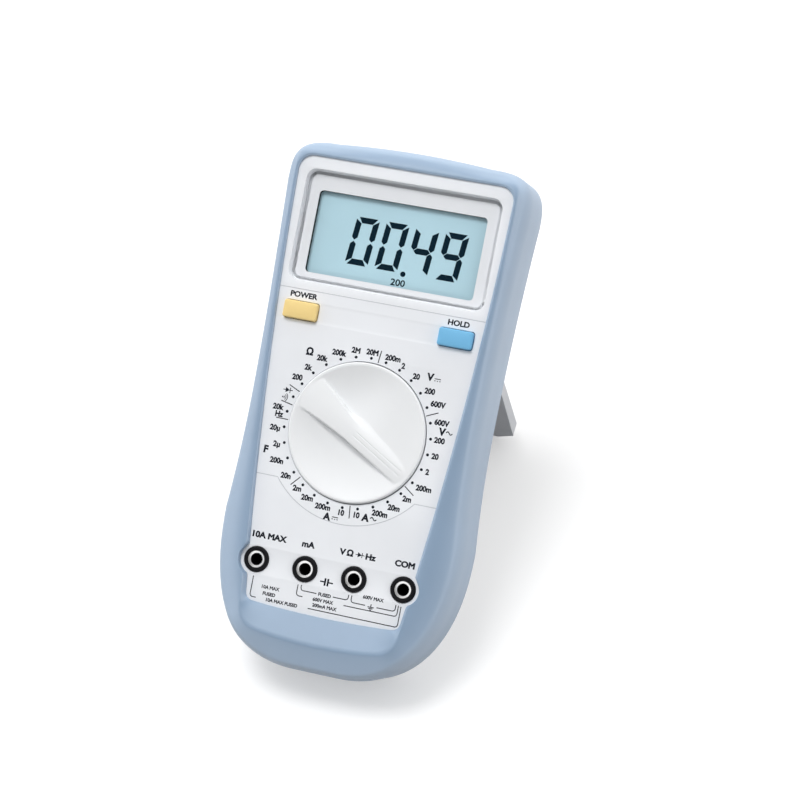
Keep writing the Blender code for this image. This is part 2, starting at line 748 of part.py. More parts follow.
def build_boot():
    """Lofted round its outline: front lip, chin, sides, heel and rear rim are one moulding."""
    heel_rise = BOOT_REAR_CHAMFER * math.tan(RECLINE)
    lip_back = -(CASE_DEPTH + FIT)
    rear = [(BOOT_OUTLINE, heel_rise - BOOT_DEPTH),
            (inset(BOOT_OUTLINE, BOOT_REAR_CHAMFER), -BOOT_DEPTH),
            (inset(BOOT_OUTLINE, BOOT_REAR_RIM), -BOOT_DEPTH),
            (inset(BOOT_OUTLINE, BOOT_REAR_RIM), lip_back),
            (inset(BOOT_OUTLINE, BOOT_WALL), lip_back)]
    inside = inset(BOOT_OUTLINE, BOOT_WALL)
    seat = panel_edge(BOOT_SEAT_MARGIN)
    rings = []
    for i, (line, outer) in enumerate(zip(BOOT_LINES, BOOT_OUTLINE)):
        section = boot_front(line, outer) + [(*outline[i], z) for outline, z in rear]
        rings.append(section + [(*inside[i], CASE_EDGE[i] + FIT), (*seat[i], FIT)])
    boot = part("boot", loft(rings, closed=True), BOOT_RUBBER)
    scallop = COLLAR_RADIUS + SCALLOP_MARGIN
    for x, y in (SOCKET_PLACES[0], SOCKET_PLACES[-1]):
        cut(boot, cutter(cylinder(scallop, -PARTING_DEPTH, PARTING_DEPTH), location=(x, y, 0.0)))


def lens_outline(margin=0.0):
    half = POCKET_HALF_WIDTH - POCKET_SLOPE_WIDTH + margin
    tall = POCKET_HEIGHT / 2 - POCKET_SLOPE_WIDTH + margin
    return rectangle(half, POCKET_CENTRE_Y - tall, POCKET_CENTRE_Y + tall,
                     POCKET_CORNER - POCKET_SLOPE_WIDTH + margin)


def glass_outline(margin=0.0):
    tall = GLASS_HEIGHT / 2 + margin
    return rectangle(GLASS_HALF_WIDTH + margin, GLASS_CENTRE_Y - tall, GLASS_CENTRE_Y + tall, CASE_WALL / 2)


def button_outline(x, margin=0.0, radius=BUTTON_ROUND):
    return rectangle(BUTTON_WIDTH / 2 + margin, BUTTON_Y - BUTTON_HEIGHT / 2 - margin,
                     BUTTON_Y + BUTTON_HEIGHT / 2 + margin, radius + margin, x)


def hub_outline(margin=0.0):
    """The knob's hub: round, with two flats that drive the rotor."""
    flat = HUB_FLAT + margin
    return [(max(-flat, min(flat, x)), y) for x, y in circle(HUB_RADIUS + margin, steps=ROUND_STEPS)]


def detent_outline():
    """A ring of shallow notches, one to each place of the dial."""
    steps = DETENTS * 2
    points = []
    for i in range(steps):
        turn = 2 * math.pi * i / steps
        radius = DETENT_RADIUS + DETENT_DEPTH * math.cos(DETENTS * turn)
        points.append((radius * math.cos(turn), radius * math.sin(turn)))
    return points


def build_front_case():
    """The upper housing: face panel, side walls, dial well, display seat and screw bosses."""
    outline = inset(BOOT_OUTLINE, CASE_INSET)
    rim = [(x, y, -PARTING_DEPTH) for x, y in outline]
    edge = [(x, y, z) for (x, y), z in zip(outline, CASE_EDGE)]
    flat = [(x, y, 0.0) for x, y in panel_edge(BOOT_SEAT_MARGIN)]
    case = part("front_case", loft([rim, edge, flat]), CASE_PLASTIC)
    hollow = inset(BOOT_OUTLINE, CASE_INSET + CASE_WALL)
    below = [(x, y, -PARTING_DEPTH - CASE_WALL) for x, y in hollow]
    inner = [(x, y, z - CASE_WALL) for (x, y), z in zip(hollow, CASE_EDGE)]
    ceiling = [(x, y, PANEL_BACK) for x, y in panel_edge(0.0)]
    cut(case, cutter(loft([below, inner, ceiling])))
    rebate = inset(BOOT_OUTLINE, CASE_INSET + (CASE_WALL - FIT) / 2)
    cut(case, cutter(prism(rebate, -PARTING_DEPTH - CASE_WALL, PARTING_LIP - PARTING_DEPTH)))
    overlap = PANEL_BACK / 2
    pad_radius = COLLAR_RADIUS + SCALLOP_MARGIN - FIT
    for x, y in (SOCKET_PLACES[0], SOCKET_PLACES[-1]):
        join(case, cutter(cylinder(pad_radius, PANEL_BACK - CASE_WALL, 0.0), location=(x, y, 0.0)))
    join(case, cutter(cylinder(WELL_RADIUS + WELL_WALL, WELL_BOTTOM, overlap, KNOB_STEPS)))
    seat = lens_outline(FIT + LENS_LEDGE)
    join(case, cutter(prism(seat, LEDGE_BACK, overlap)))
    ring = [circle(DETENT_RADIUS + DETENT_WALL, steps=KNOB_STEPS), detent_outline()]
    join(case, cutter(prism(ring, ROTOR_BOTTOM, WELL_BOTTOM + WELL_FLOOR / 2)))
    for x, y in SCREW_PLACES:
        boss = cylinder(BOSS_RADIUS, -PARTING_DEPTH + FIT, overlap)
        join(case, cutter(boss, location=(x, y, 0.0)))
    cut(case, cutter(cylinder(WELL_RADIUS, WELL_TOP, CASE_WALL, KNOB_STEPS)))
    cut(case, cutter(cylinder(HUB_RADIUS + SEAT_GAP, WELL_BOTTOM - FIT, WELL_TOP + FIT)))
    slope = POCKET_SLOPE_WIDTH / POCKET_DEPTH
    above = CASE_WALL
    low_ring = [(x, y, LENS_FRONT) for x, y in lens_outline(FIT)]
    high_ring = [(x, y, above) for x, y in lens_outline(slope * (POCKET_DEPTH + above))]
    cut(case, cutter(loft([low_ring, high_ring])))
    cut(case, cutter(prism(lens_outline(FIT), LENS_BACK - FIT, LENS_FRONT + FIT)))
    cut(case, cutter(prism(glass_outline(SEAT_GAP), LEDGE_BACK - FIT, LENS_BACK)))
    for side in (-1, 1):
        cut(case, cutter(prism(button_outline(side * BUTTON_X, FIT), PANEL_BACK - FIT, CASE_WALL)))
    for x, y in SOCKET_PLACES:
        hole = cylinder(COLLAR_RADIUS + FIT, PANEL_BACK - FIT, CASE_WALL)
        shelf = cylinder(COLLAR_RADIUS + COLLAR_FLANGE + FIT, -PARTING_DEPTH, PANEL_BACK)
        cut(case, cutter(hole, location=(x, y, 0.0)), cutter(shelf, location=(x, y, 0.0)))
    for x, y in SCREW_PLACES:
        pilot = cylinder(SCREW_SHANK + FIT, -PARTING_DEPTH, -PARTING_DEPTH + SCREW_BITE + FIT)
        cut(case, cutter(pilot, location=(x, y, 0.0)))


def recess_outline(margin=0.0):
    """The stand's recess, seen from the back: the stand's own outline with room round it."""
    room = SEAT_GAP + margin
    half = STAND_HALF_WIDTH + room
    top = STAND_HINGE_Y + math.hypot(STAND_HEEL, STAND_PLATE - STAND_INNER) + room
    clip = STAND_HINGE_Y + STAND_FOOT_CLIP - STAND_LENGTH - room
    foot = STAND_FOOT_HALF_WIDTH + room
    low = STAND_HINGE_Y - STAND_END - room
    corners = [(-foot, low), (foot, low), (half, clip), (half, top), (-half, top), (-half, clip)]
    return rounded_outline(corners, [CASE_WALL / 2 + margin] * len(corners))


def cover_outline(margin=0.0):
    """The battery cover: over the bay, with a tab for its screw."""
    half = BAY_HALF_WIDTH + COVER_LEDGE + margin
    low = BATTERY_Y - BAY_HALF_HEIGHT - COVER_LEDGE - margin
    high = BATTERY_Y + BAY_HALF_HEIGHT + COVER_TAB + margin
    return rectangle(half, low, high, COVER_CORNER + margin)


def cover_screw_place():
    return 0.0, BATTERY_Y + BAY_HALF_HEIGHT + BAY_WALL / 2 + COVER_BOSS


def bay_outline(margin=0.0):
    return rectangle(BAY_HALF_WIDTH + margin, BATTERY_Y - BAY_HALF_HEIGHT - margin,
                     BATTERY_Y + BAY_HALF_HEIGHT + margin, CASE_WALL / 2 + margin)


def build_back_case():
    """The lower housing: back, sides, stand recess with hinge holes, and battery bay."""
    outline = inset(BOOT_OUTLINE, CASE_INSET)
    parting = -PARTING_DEPTH - FIT
    lip_top = parting + PARTING_LIP
    case = part("back_case", prism(outline, CASE_BACK, lip_top), CASE_PLASTIC)
    inner = inset(BOOT_OUTLINE, CASE_INSET + CASE_WALL)
    cut(case, cutter(prism(inner, CASE_BACK_INSIDE, lip_top + CASE_WALL)))
    step = [inset(BOOT_OUTLINE, 0.0), inset(BOOT_OUTLINE, CASE_INSET + (CASE_WALL + FIT) / 2)]
    cut(case, cutter(prism(step, parting, lip_top + CASE_WALL)))
    overlap = CASE_BACK + CASE_WALL / 2
    floor = STAND_INNER + SEAT_GAP - STAND_HINGE_DEPTH
    pocket = math.hypot(STAND_HEEL, STAND_INNER) + FIT - STAND_HINGE_DEPTH
    cheeks = rectangle(STAND_HALF_WIDTH + RECESS_CHEEK, STAND_HINGE_Y - STAND_HEEL * 2,
                       STAND_HINGE_Y + STAND_HEEL + RECESS_CHEEK, CASE_WALL / 2)
    join(case, cutter(prism(recess_outline(RECESS_WALL), overlap, floor + RECESS_WALL)))
    join(case, cutter(prism(cheeks, overlap, pocket + RECESS_WALL)))
    join(case, cutter(prism(cover_outline(RECESS_WALL), overlap, COVER_SEAT + CASE_WALL)))
    bay_front = BATTERY_FRONT - FIT
    join(case, cutter(prism(bay_outline(BAY_WALL), overlap, bay_front)))
    screw_x, screw_y = cover_screw_place()
    boss = cylinder(COVER_BOSS, overlap, COVER_SEAT + COVER_SCREW_LENGTH + CASE_WALL)
    join(case, cutter(boss, location=(screw_x, screw_y, 0.0)))
    for x, y in SCREW_PLACES:
        post = cylinder(POST_RADIUS, overlap, parting)
        join(case, cutter(post, location=(x, y, 0.0)))
    behind = CASE_BACK - CASE_WALL
    cut(case, cutter(prism(recess_outline(), behind, floor)))
    hinge_pocket = rectangle(STAND_HALF_WIDTH + FIT, STAND_HINGE_Y - STAND_HEEL - SEAT_GAP,
                             STAND_HINGE_Y + STAND_HEEL, CASE_WALL / 2)
    cut(case, cutter(prism(hinge_pocket, behind, pocket)))
    pin = cylinder(STAND_PIN_RADIUS + STAND_PIN_PLAY, -STAND_HALF_WIDTH - STAND_PIN_REACH - FIT,
                   STAND_HALF_WIDTH + STAND_PIN_REACH + FIT)
    pin.transform(Matrix.Rotation(math.pi / 2, 4, "Y"))
    cut(case, cutter(pin, location=(0.0, STAND_HINGE_Y, -STAND_HINGE_DEPTH)))
    cut(case, cutter(prism(cover_outline(FIT), behind, COVER_SEAT)))
    cut(case, cutter(prism(bay_outline(), behind, bay_front + FIT)))
    notch_half = LEAD_SPACING / 2 + LEAD_RADIUS * 3
    notch = block((BAY_HALF_WIDTH - FIT, BATTERY_Y - notch_half, lead_depth() - notch_half),
                  (BAY_HALF_WIDTH + BAY_WALL + FIT, BATTERY_Y + notch_half, bay_front + FIT))
    cut(case, cutter(notch))
    pilot = cylinder(COVER_SCREW_SHANK + FIT, behind, COVER_SEAT + COVER_SCREW_LENGTH)
    cut(case, cutter(pilot, location=(screw_x, screw_y, 0.0)))
    for x, y in SCREW_PLACES:
        bore = cylinder(SCREW_SHANK + FIT, behind, parting + FIT)
        sink = cylinder(SCREW_HEAD + FIT, behind, -SCREW_SEAT_DEPTH)
        cut(case, cutter(bore, location=(x, y, 0.0)), cutter(sink, location=(x, y, 0.0)))


def screw(name, shank, head, head_thick, tip, seat, place, parent=None):
    """A pan-head screw driven in from the back: seat is where its head bears."""
    crown = seat - head_thick
    shoulder = seat - head_thick * SCREW_CROWN_START
    profile = [(0.0, tip), (shank, tip - shank), (shank, seat), (head, seat), (head, shoulder),
               (head * SCREW_CROWN_RADIUS, crown), (0.0, crown)]
    part(name, turned(profile, SMALL_STEPS), STEEL, parent, (*place, 0.0))


def build_screws():
    seat = -SCREW_SEAT_DEPTH - FIT
    tip = -PARTING_DEPTH + SCREW_BITE
    for i, place in enumerate(SCREW_PLACES):
        screw(f"case_screw_{i + 1}", SCREW_SHANK, SCREW_HEAD, SCREW_HEAD_THICK, tip, seat, place)
    screw("battery_cover_screw", COVER_SCREW_SHANK, COVER_SCREW_HEAD, COVER_THICK / 2,
          COVER_SEAT + COVER_SCREW_LENGTH - FIT, COVER_BACK + COVER_THICK / 2, cover_screw_place())


def build_battery():
    """The battery, its snap and leads, and the cover of its bay."""
    right = BATTERY_LEFT + BATTERY_LENGTH
    body = block((BATTERY_LEFT, BATTERY_Y - BATTERY_HEIGHT / 2, BATTERY_BACK),
                 (right, BATTERY_Y + BATTERY_HEIGHT / 2, BATTERY_FRONT))
    battery = part("battery", rounded(body, BATTERY_ROUND), BATTERY_JACKET)
    middle = (BATTERY_BACK + BATTERY_FRONT) / 2
    snap_left = right + FIT
    snap_right = snap_left + SNAP_THICK
    snap = part("battery_snap", rounded(block(
        (snap_left, BATTERY_Y - SNAP_WIDTH / 2, middle - SNAP_HEIGHT / 2),
        (snap_right, BATTERY_Y + SNAP_WIDTH / 2, middle + SNAP_HEIGHT / 2)), FIT, 1), BLACK_PLASTIC)
    for radius, side in zip(STUD_RADII, (1, -1)):
        y = BATTERY_Y + side * STUD_SPACING / 2
        stud = cylinder(radius, -BATTERY_ROUND, STUD_LENGTH)
        hole = cylinder(radius + FIT, -STUD_LENGTH, STUD_LENGTH + FIT)
        for mesh in (stud, hole):
            mesh.transform(Matrix.Rotation(math.pi / 2, 4, "Y"))
        join(battery, cutter(stud, location=(right, y, middle)))
        cut(snap, cutter(hole, location=(right, y, middle)))
    leads = (("battery_lead_red", 1, LEAD_RED), ("battery_lead_black", -1, BLACK_PLASTIC))
    for name, side, material in leads:
        y = BATTERY_Y + side * LEAD_SPACING / 2
        start = Vector((snap_right + FIT, y, lead_depth()))
        bend = start + Vector((LEAD_REACH, 0.0, 0.0))
        end = Vector((bend.x, y, BOARD_UNDERSIDE))
        route = []
        for i in range(LEAD_STEPS + 1):
            share = i / LEAD_STEPS
            route.append(start.lerp(bend, share).lerp(bend.lerp(end, share), share))
        part(name, tube(route, LEAD_RADIUS), material)
    lid = rounded(prism(cover_outline(), COVER_BACK, COVER_FRONT), FIT, 1)
    cover = part("battery_cover", lid, CASE_PLASTIC)
    place = (*cover_screw_place(), 0.0)
    hole = cylinder(COVER_SCREW_SHANK + FIT, COVER_BACK - FIT, COVER_FRONT + FIT)
    sink = cylinder(COVER_SCREW_HEAD + FIT, COVER_BACK - FIT, COVER_BACK + COVER_THICK / 2 + FIT)
    cut(cover, cutter(hole, location=place), cutter(sink, location=place))


def lead_depth():
    return (BATTERY_BACK + BATTERY_FRONT) / 2


def build_display():
    """Lens, liquid-crystal glass, its frame on the board and the two contact strips."""
    part("display_lens", rounded(prism(lens_outline(), LENS_BACK, LENS_FRONT), FIT / 2, 1), CLEAR)
    part("display_glass", prism(glass_outline(), GLASS_BACK, GLASS_FRONT), DISPLAY_GLASS)
    frame_back = BOARD_FRONT + FIT
    frame_front = GLASS_BACK - FIT
    inner = glass_outline(-CASE_WALL / 4)
    part("display_frame", prism([glass_outline(FRAME_BORDER), inner], frame_back, frame_front), CASE_PLASTIC)
    reach = GLASS_HEIGHT / 2 - CASE_WALL / 2 - STRIP_WIDTH / 2
    half = GLASS_HALF_WIDTH - STRIP_INSET
    for name, side in (("contact_strip_top", 1), ("contact_strip_low", -1)):
        y = GLASS_CENTRE_Y + side * reach
        part(name, block((-half, y - STRIP_WIDTH / 2, frame_back), (half, y + STRIP_WIDTH / 2, frame_front)),
             ELASTOMER)


def bar_outline(grow):
    """The finger bar seen from the front: wide where it meets the rim, waisted, narrow at the pointer."""
    reach = KNOB_RADIUS - KNOB_RIM
    points = []
    for i in range(BAR_STEPS + 1):
        share = i / BAR_STEPS
        half = KNOB_BAR_NARROW + (KNOB_BAR_WIDE - KNOB_BAR_NARROW) * share ** 2
        half -= (half - KNOB_BAR_WAIST) * math.sin(math.pi * share) * KNOB_BAR_PINCH
        half += grow
        points.append((math.sqrt(reach ** 2 - half ** 2) * (2 * share - 1), half))
    return points + [(x, -half) for x, half in reversed(points)]


def build_dial():
    """The knob with its two scoops, and the rotor, contacts and detents that turn with it."""
    reach = KNOB_RADIUS - KNOB_RIM
    sphere = (reach ** 2 + KNOB_DISH ** 2) / (2 * KNOB_DISH)
    profile = []
    for i in range(DISH_STEPS + 1):
        radius = reach * i / DISH_STEPS
        profile.append((radius, KNOB_RISE - KNOB_DISH + sphere - math.sqrt(sphere ** 2 - radius ** 2)))
    profile += [(KNOB_RADIUS - KNOB_CHAMFER, KNOB_RISE), (KNOB_RADIUS, KNOB_RISE - KNOB_CHAMFER),
                (KNOB_RADIUS, KNOB_BOTTOM), (0.0, KNOB_BOTTOM)]
    knob = part("range_knob", turned(profile, KNOB_STEPS), CASE_PLASTIC, DIAL)
    bar_base = KNOB_RISE - KNOB_DISH - KNOB_SKIN / 2
    bar_top = KNOB_RISE + KNOB_BAR_CROWN
    low = [(x, y, bar_base) for x, y in bar_outline(KNOB_BAR_DRAFT)]
    high = [(x, y, bar_top) for x, y in bar_outline(0.0)]
    join(knob, cutter(rounded(loft([low, high]), FIT * 2), DIAL))
    join(knob, cutter(prism(hub_outline(), ROTOR_BOTTOM, KNOB_BOTTOM + KNOB_SKIN / 2), DIAL))
    pilot_top = KNOB_RISE - KNOB_DISH
    cut(knob, cutter(cylinder(SCREW_SHANK + FIT, ROTOR_BOTTOM - FIT, pilot_top), DIAL))
    rotor_holes = [circle(ROTOR_RADIUS, steps=KNOB_STEPS), hub_outline(FIT)]
    rotor = part("switch_rotor", prism(rotor_holes, ROTOR_BOTTOM, ROTOR_TOP), BLACK_PLASTIC, DIAL)
    groove_depth = 2 * BALL_RADIUS + FIT
    ball_place = DETENT_RADIUS - DETENT_DEPTH - BALL_RADIUS - FIT
    groove_start = ball_place - BALL_RADIUS - SPRING_LENGTH - 2 * FIT
    middle = ROTOR_TOP - BALL_RADIUS - FIT / 2
    for i, side in enumerate((1, -1)):
        near, far = sorted((side * groove_start, side * DETENT_RADIUS))
        groove = block((near, -BALL_RADIUS - FIT, ROTOR_TOP - groove_depth),
                       (far, BALL_RADIUS + FIT, ROTOR_TOP + FIT))
        cut(rotor, cutter(groove, DIAL))
        ball = bpy.data.meshes.new("ball")
        shape = bmesh.new()
        bmesh.ops.create_uvsphere(shape, u_segments=SMALL_STEPS, v_segments=BALL_RINGS, radius=BALL_RADIUS)
        shape.to_mesh(ball)
        shape.free()
        part(f"detent_ball_{i + 1}", ball, STEEL, DIAL, (side * ball_place, 0.0, middle))
        coil = []
        count = SPRING_TURNS * SPRING_STEPS
        for j in range(count + 1):
            turn = 2 * math.pi * j / SPRING_STEPS
            along = groove_start + FIT + SPRING_LENGTH * j / count
            rise = SPRING_RADIUS * math.sin(turn)
            coil.append((side * along, SPRING_RADIUS * math.cos(turn), middle + rise))
        part(f"detent_spring_{i + 1}", tube(coil, SPRING_WIRE, 0), STEEL, DIAL)
    tip = BOARD_FRONT + FIT
    root = ROTOR_BOTTOM - FIT
    half = WIPER_LENGTH / 2
    leaf = [(-half, root), (-half / 2, root), (0.0, tip + WIPER_THICK), (half / 2, root), (half, root),
            (half, root - WIPER_THICK), (half / 2, root - WIPER_THICK), (0.0, tip),
            (-half / 2, root - WIPER_THICK), (-half, root - WIPER_THICK)]
    for i in range(WIPER_COUNT):
        mesh = prism_across(leaf, -WIPER_WIDTH / 2, WIPER_WIDTH / 2)
        mesh.transform(Matrix.Translation((WIPER_RADIUS, 0.0, 0.0)))
        turn = math.radians(WIPER_START) + 2 * math.pi * i / WIPER_COUNT
        mesh.transform(Matrix.Rotation(turn, 4, "Z"))
        part(f"wiper_contact_{i + 1}", mesh, BRONZE, DIAL)
    screw("knob_screw", SCREW_SHANK, KNOB_SCREW_HEAD, KNOB_SCREW_HEAD_THICK, pilot_top - FIT,
          ROTOR_BOTTOM - FIT, (0.0, 0.0), DIAL)


def build_buttons():
    """Caps that slide in the panel, each on the plunger of its switch."""
    flange_top = PANEL_BACK - FIT
    flange_low = flange_top - BUTTON_FLANGE_THICK
    switch_low = BOARD_FRONT + FIT
    switch_top = flange_low - BUTTON_TRAVEL - FIT
    for name, side, material in (("power", -1, BUTTON_YELLOW), ("hold", 1, BUTTON_BLUE)):
        place = (side * BUTTON_X, BUTTON_Y, 0.0)
        cap = rectangle(BUTTON_WIDTH / 2, -BUTTON_HEIGHT / 2, BUTTON_HEIGHT / 2, BUTTON_ROUND)
        flange = rectangle(BUTTON_WIDTH / 2 + BUTTON_FLANGE, -BUTTON_HEIGHT / 2 - BUTTON_FLANGE,
                           BUTTON_HEIGHT / 2 + BUTTON_FLANGE, BUTTON_ROUND)
        body = rounded(prism(cap, flange_low + FIT, BUTTON_RISE), BUTTON_ROUND)
        button = part(f"{name}_button", body, material, location=place)
        join(button, cutter(prism(flange, flange_low, flange_top), location=place))
        plunger_low = switch_top - PLUNGER_OVERLAP
        part(f"{name}_plunger", cylinder(PLUNGER_RADIUS, plunger_low, flange_low - FIT), CASE_PLASTIC,
             location=place)
        side_half = SWITCH_SIDE / 2
        box = block((-side_half, -side_half, switch_low), (side_half, side_half, switch_top))
        switch = part(f"{name}_switch", rounded(box, FIT, 1), BLACK_PLASTIC, location=place)
        well = cylinder(PLUNGER_RADIUS + FIT, plunger_low - BUTTON_TRAVEL - FIT / 2, switch_top + FIT)
        cut(switch, cutter(well, location=place))


def build_sockets():
    """Four plated sleeves in black collars, each collar held under the panel by its flange."""
    under = PANEL_BACK - FIT
    bore = SLEEVE_RADIUS + FIT
    foot = under - COLLAR_FLANGE_THICK
    round_top = COLLAR_RISE / 2
    collar = [(bore, COLLAR_RISE), (COLLAR_RADIUS - round_top, COLLAR_RISE),
              (COLLAR_RADIUS, COLLAR_RISE - round_top), (COLLAR_RADIUS, under),
              (COLLAR_RADIUS + COLLAR_FLANGE, under), (COLLAR_RADIUS + COLLAR_FLANGE, foot), (bore, foot)]
    flange = foot - FIT
    sleeve_top = COLLAR_RISE - round_top
    flange_low = flange - SLEEVE_FLANGE_THICK
    flange_radius = SLEEVE_RADIUS + SLEEVE_FLANGE
    sleeve = [(0.0, SLEEVE_FLOOR - SLEEVE_DEPTH), (SLEEVE_BORE, SLEEVE_FLOOR - SLEEVE_DEPTH),
              (SLEEVE_BORE, sleeve_top), (SLEEVE_RADIUS, sleeve_top), (SLEEVE_RADIUS, flange),
              (flange_radius, flange), (flange_radius, flange_low),
              (SLEEVE_RADIUS, flange_low), (SLEEVE_RADIUS, -SLEEVE_DEPTH), (0.0, -SLEEVE_DEPTH)]
    for name, place in zip(("ten_amp", "milliamp", "volt_ohm", "common"), SOCKET_PLACES):
        part(f"{name}_collar", turned(collar), BLACK_PLASTIC, location=(*place, 0.0))
        part(f"{name}_socket", turned(sleeve), NICKEL, location=(*place, 0.0))


def build_fuse(name, fuse):
    """A cartridge fuse across the board's back, held by a spring clip at each end."""
    x, radius, length = fuse
    depth = BOARD_UNDERSIDE - CLIP_THICK - FUSE_STANDOFF - radius
    profile = [(0.0, length / 2), (radius, length / 2), (radius, -length / 2), (0.0, -length / 2)]
    body = rounded(turned(profile, SMALL_STEPS), FIT, 1)
    body.transform(Matrix.Rotation(math.pi / 2, 4, "Y"))
    part(name, body, FUSE_CERAMIC, location=(x, FUSE_Y, depth))
    inner = radius + FIT
    outer = inner + CLIP_THICK
    start = math.radians(-CLIP_WRAP)
    turns = [start + (math.pi - 2 * start) * i / CLIP_STEPS for i in range(CLIP_STEPS + 1)]
    ring = [(outer * math.cos(t), outer * math.sin(t)) for t in turns]
    ring += [(inner * math.cos(t), inner * math.sin(t)) for t in reversed(turns)]
    foot = block((-CLIP_WIDTH / 2, -radius / 2, inner + CLIP_THICK / 2),
                 (CLIP_WIDTH / 2, radius / 2, BOARD_UNDERSIDE - depth))
    for i, side in enumerate((-1, 1)):
        place = (x + side * (length / 2 - CLIP_WIDTH / 2 - CLIP_INSET), FUSE_Y, depth)
        clip = part(f"{name}_clip_{i + 1}", prism_across(ring, -CLIP_WIDTH / 2, CLIP_WIDTH / 2), BRONZE,
                    location=place)
        join(clip, cutter(foot.copy(), location=place))


def build_board():
    """The circuit board and the larger parts soldered to its back."""
    outlines = [rectangle(BOARD_HALF_WIDTH, BOARD_BOTTOM, BOARD_TOP, BOARD_CORNER),
                circle(KNOB_SCREW_HEAD + SEAT_GAP, steps=ROUND_STEPS)]
    outlines += [circle(SLEEVE_RADIUS + FIT, place) for place in SOCKET_PLACES]
    part("circuit_board", prism(outlines, BOARD_BACK, BOARD_FRONT), BOARD_GREEN)
    build_fuse("ten_amp_fuse", FUSE_LARGE)
    build_fuse("milliamp_fuse", FUSE_SMALL)
    half = CHIP_SIDE / 2
    chip = block((-half, -half, BOARD_UNDERSIDE - CHIP_THICK), (half, half, BOARD_UNDERSIDE))
    part("converter_chip", rounded(chip, FIT, 1), BLACK_PLASTIC, location=(*CHIP_PLACE, 0.0))
    disc = cylinder(BUZZER_RADIUS, BOARD_UNDERSIDE - BUZZER_THICK, BOARD_UNDERSIDE, ROUND_STEPS)
    part("buzzer", rounded(disc, FIT, 1), BLACK_PLASTIC, location=(*BUZZER_PLACE, 0.0))
    for i, side in enumerate((-1, 1)):
        can = cylinder(CAPACITOR_RADIUS, BOARD_UNDERSIDE - CAPACITOR_HEIGHT, BOARD_UNDERSIDE)
        part(f"capacitor_{i + 1}", rounded(can, FIT, 1), BLACK_PLASTIC,
             location=(side * CAPACITOR_PLACE[0], CAPACITOR_PLACE[1], 0.0))
    route = []
    for i in range(SHUNT_STEPS + 1):
        turn = math.pi * i / SHUNT_STEPS
        route.append((SHUNT_X - SHUNT_SPAN / 2 * math.cos(turn), SHUNT_Y,
                      BOARD_UNDERSIDE - SHUNT_HEIGHT * math.sin(turn)))
    part("current_shunt", tube(route, SHUNT_WIRE), BRONZE)


def stand_profile():
    """The stand's outline as it lies folded, with clipped corners at its foot."""
    half = STAND_HALF_WIDTH
    return [(-half, STAND_HEEL), (half, STAND_HEEL), (half, STAND_FOOT_CLIP - STAND_LENGTH),
            (STAND_FOOT_HALF_WIDTH, -STAND_END), (-STAND_FOOT_HALF_WIDTH, -STAND_END),
            (-half, STAND_FOOT_CLIP - STAND_LENGTH)]


def build_stand():
    """A tray with deeper sides towards its foot, on two stub pins, its foot cut level with the floor."""
    inner = STAND_INNER
    depth = -(STAND_FLANGE_FOOT - STAND_INNER)
    stand = part("tilt_stand", prism(stand_profile(), depth, inner), CASE_PLASTIC, STAND)
    half = STAND_HALF_WIDTH
    plate_back = inner - STAND_PLATE
    tray_low = STAND_FLANGE - STAND_LENGTH + STAND_FOOT_CLIP
    tray = rectangle(half - STAND_FLANGE, tray_low, STAND_HEEL * 2, STAND_FLANGE / 2)
    cut(stand, cutter(prism(tray, depth * 2, plate_back), STAND))
    top_side = inner - STAND_FLANGE_TOP
    slope = (depth - top_side) / STAND_LENGTH
    past = STAND_HEEL * 2
    wedge = [(past, top_side - slope * past), (past, depth * 3),
             (-STAND_END - past, depth * 3), (-STAND_END - past, top_side + slope * (STAND_END + past))]
    cut(stand, cutter(prism_across(wedge, -half - past, half + past), STAND))
    heel = [(0.0, plate_back), (past, plate_back), (past, depth * 3), (0.0, depth * 3)]
    cut(stand, cutter(prism_across(heel, -half - past, half + past), STAND))
    floor_run = STAND_FLANGE_FOOT * 2
    floor_drop = floor_run * math.tan(STAND_LEAN)
    foot = [(-STAND_LENGTH + floor_drop, inner + floor_run), (-STAND_LENGTH - floor_drop, inner - floor_run),
            (-STAND_END - floor_run * 2, inner - floor_run), (-STAND_END - floor_run * 2, inner + floor_run)]
    cut(stand, cutter(prism_across(foot, -half - past, half + past), STAND))
    pin = cylinder(STAND_PIN_RADIUS, -half - STAND_PIN_REACH, half + STAND_PIN_REACH)
    pin.transform(Matrix.Rotation(math.pi / 2, 4, "Y"))
    join(stand, cutter(pin, STAND))


def set_on_floor():
    """Puts the heel on the floor, with the origin under the middle of the whole object."""
    rise = -(HEEL.x * math.sin(RECLINE) + HEEL.y * math.cos(RECLINE))
    graph = bpy.context.evaluated_depsgraph_get()
    depths = []
    for obj in PARTS.objects:
        if obj.type == "MESH":
            shape = obj.evaluated_get(graph)
            depths += [(shape.matrix_world @ vertex.co).y for vertex in shape.data.vertices]
    METER.location = (0.0, -(min(depths) + max(depths)) / 2, rise)


build_boot()
build_front_case()
build_back_case()
build_screws()
build_battery()
build_display()
build_dial()
build_buttons()
build_sockets()
build_board()
build_stand()
set_on_floor()
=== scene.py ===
import json
import math

import bmesh
import bpy
from mathutils import Matrix, Vector


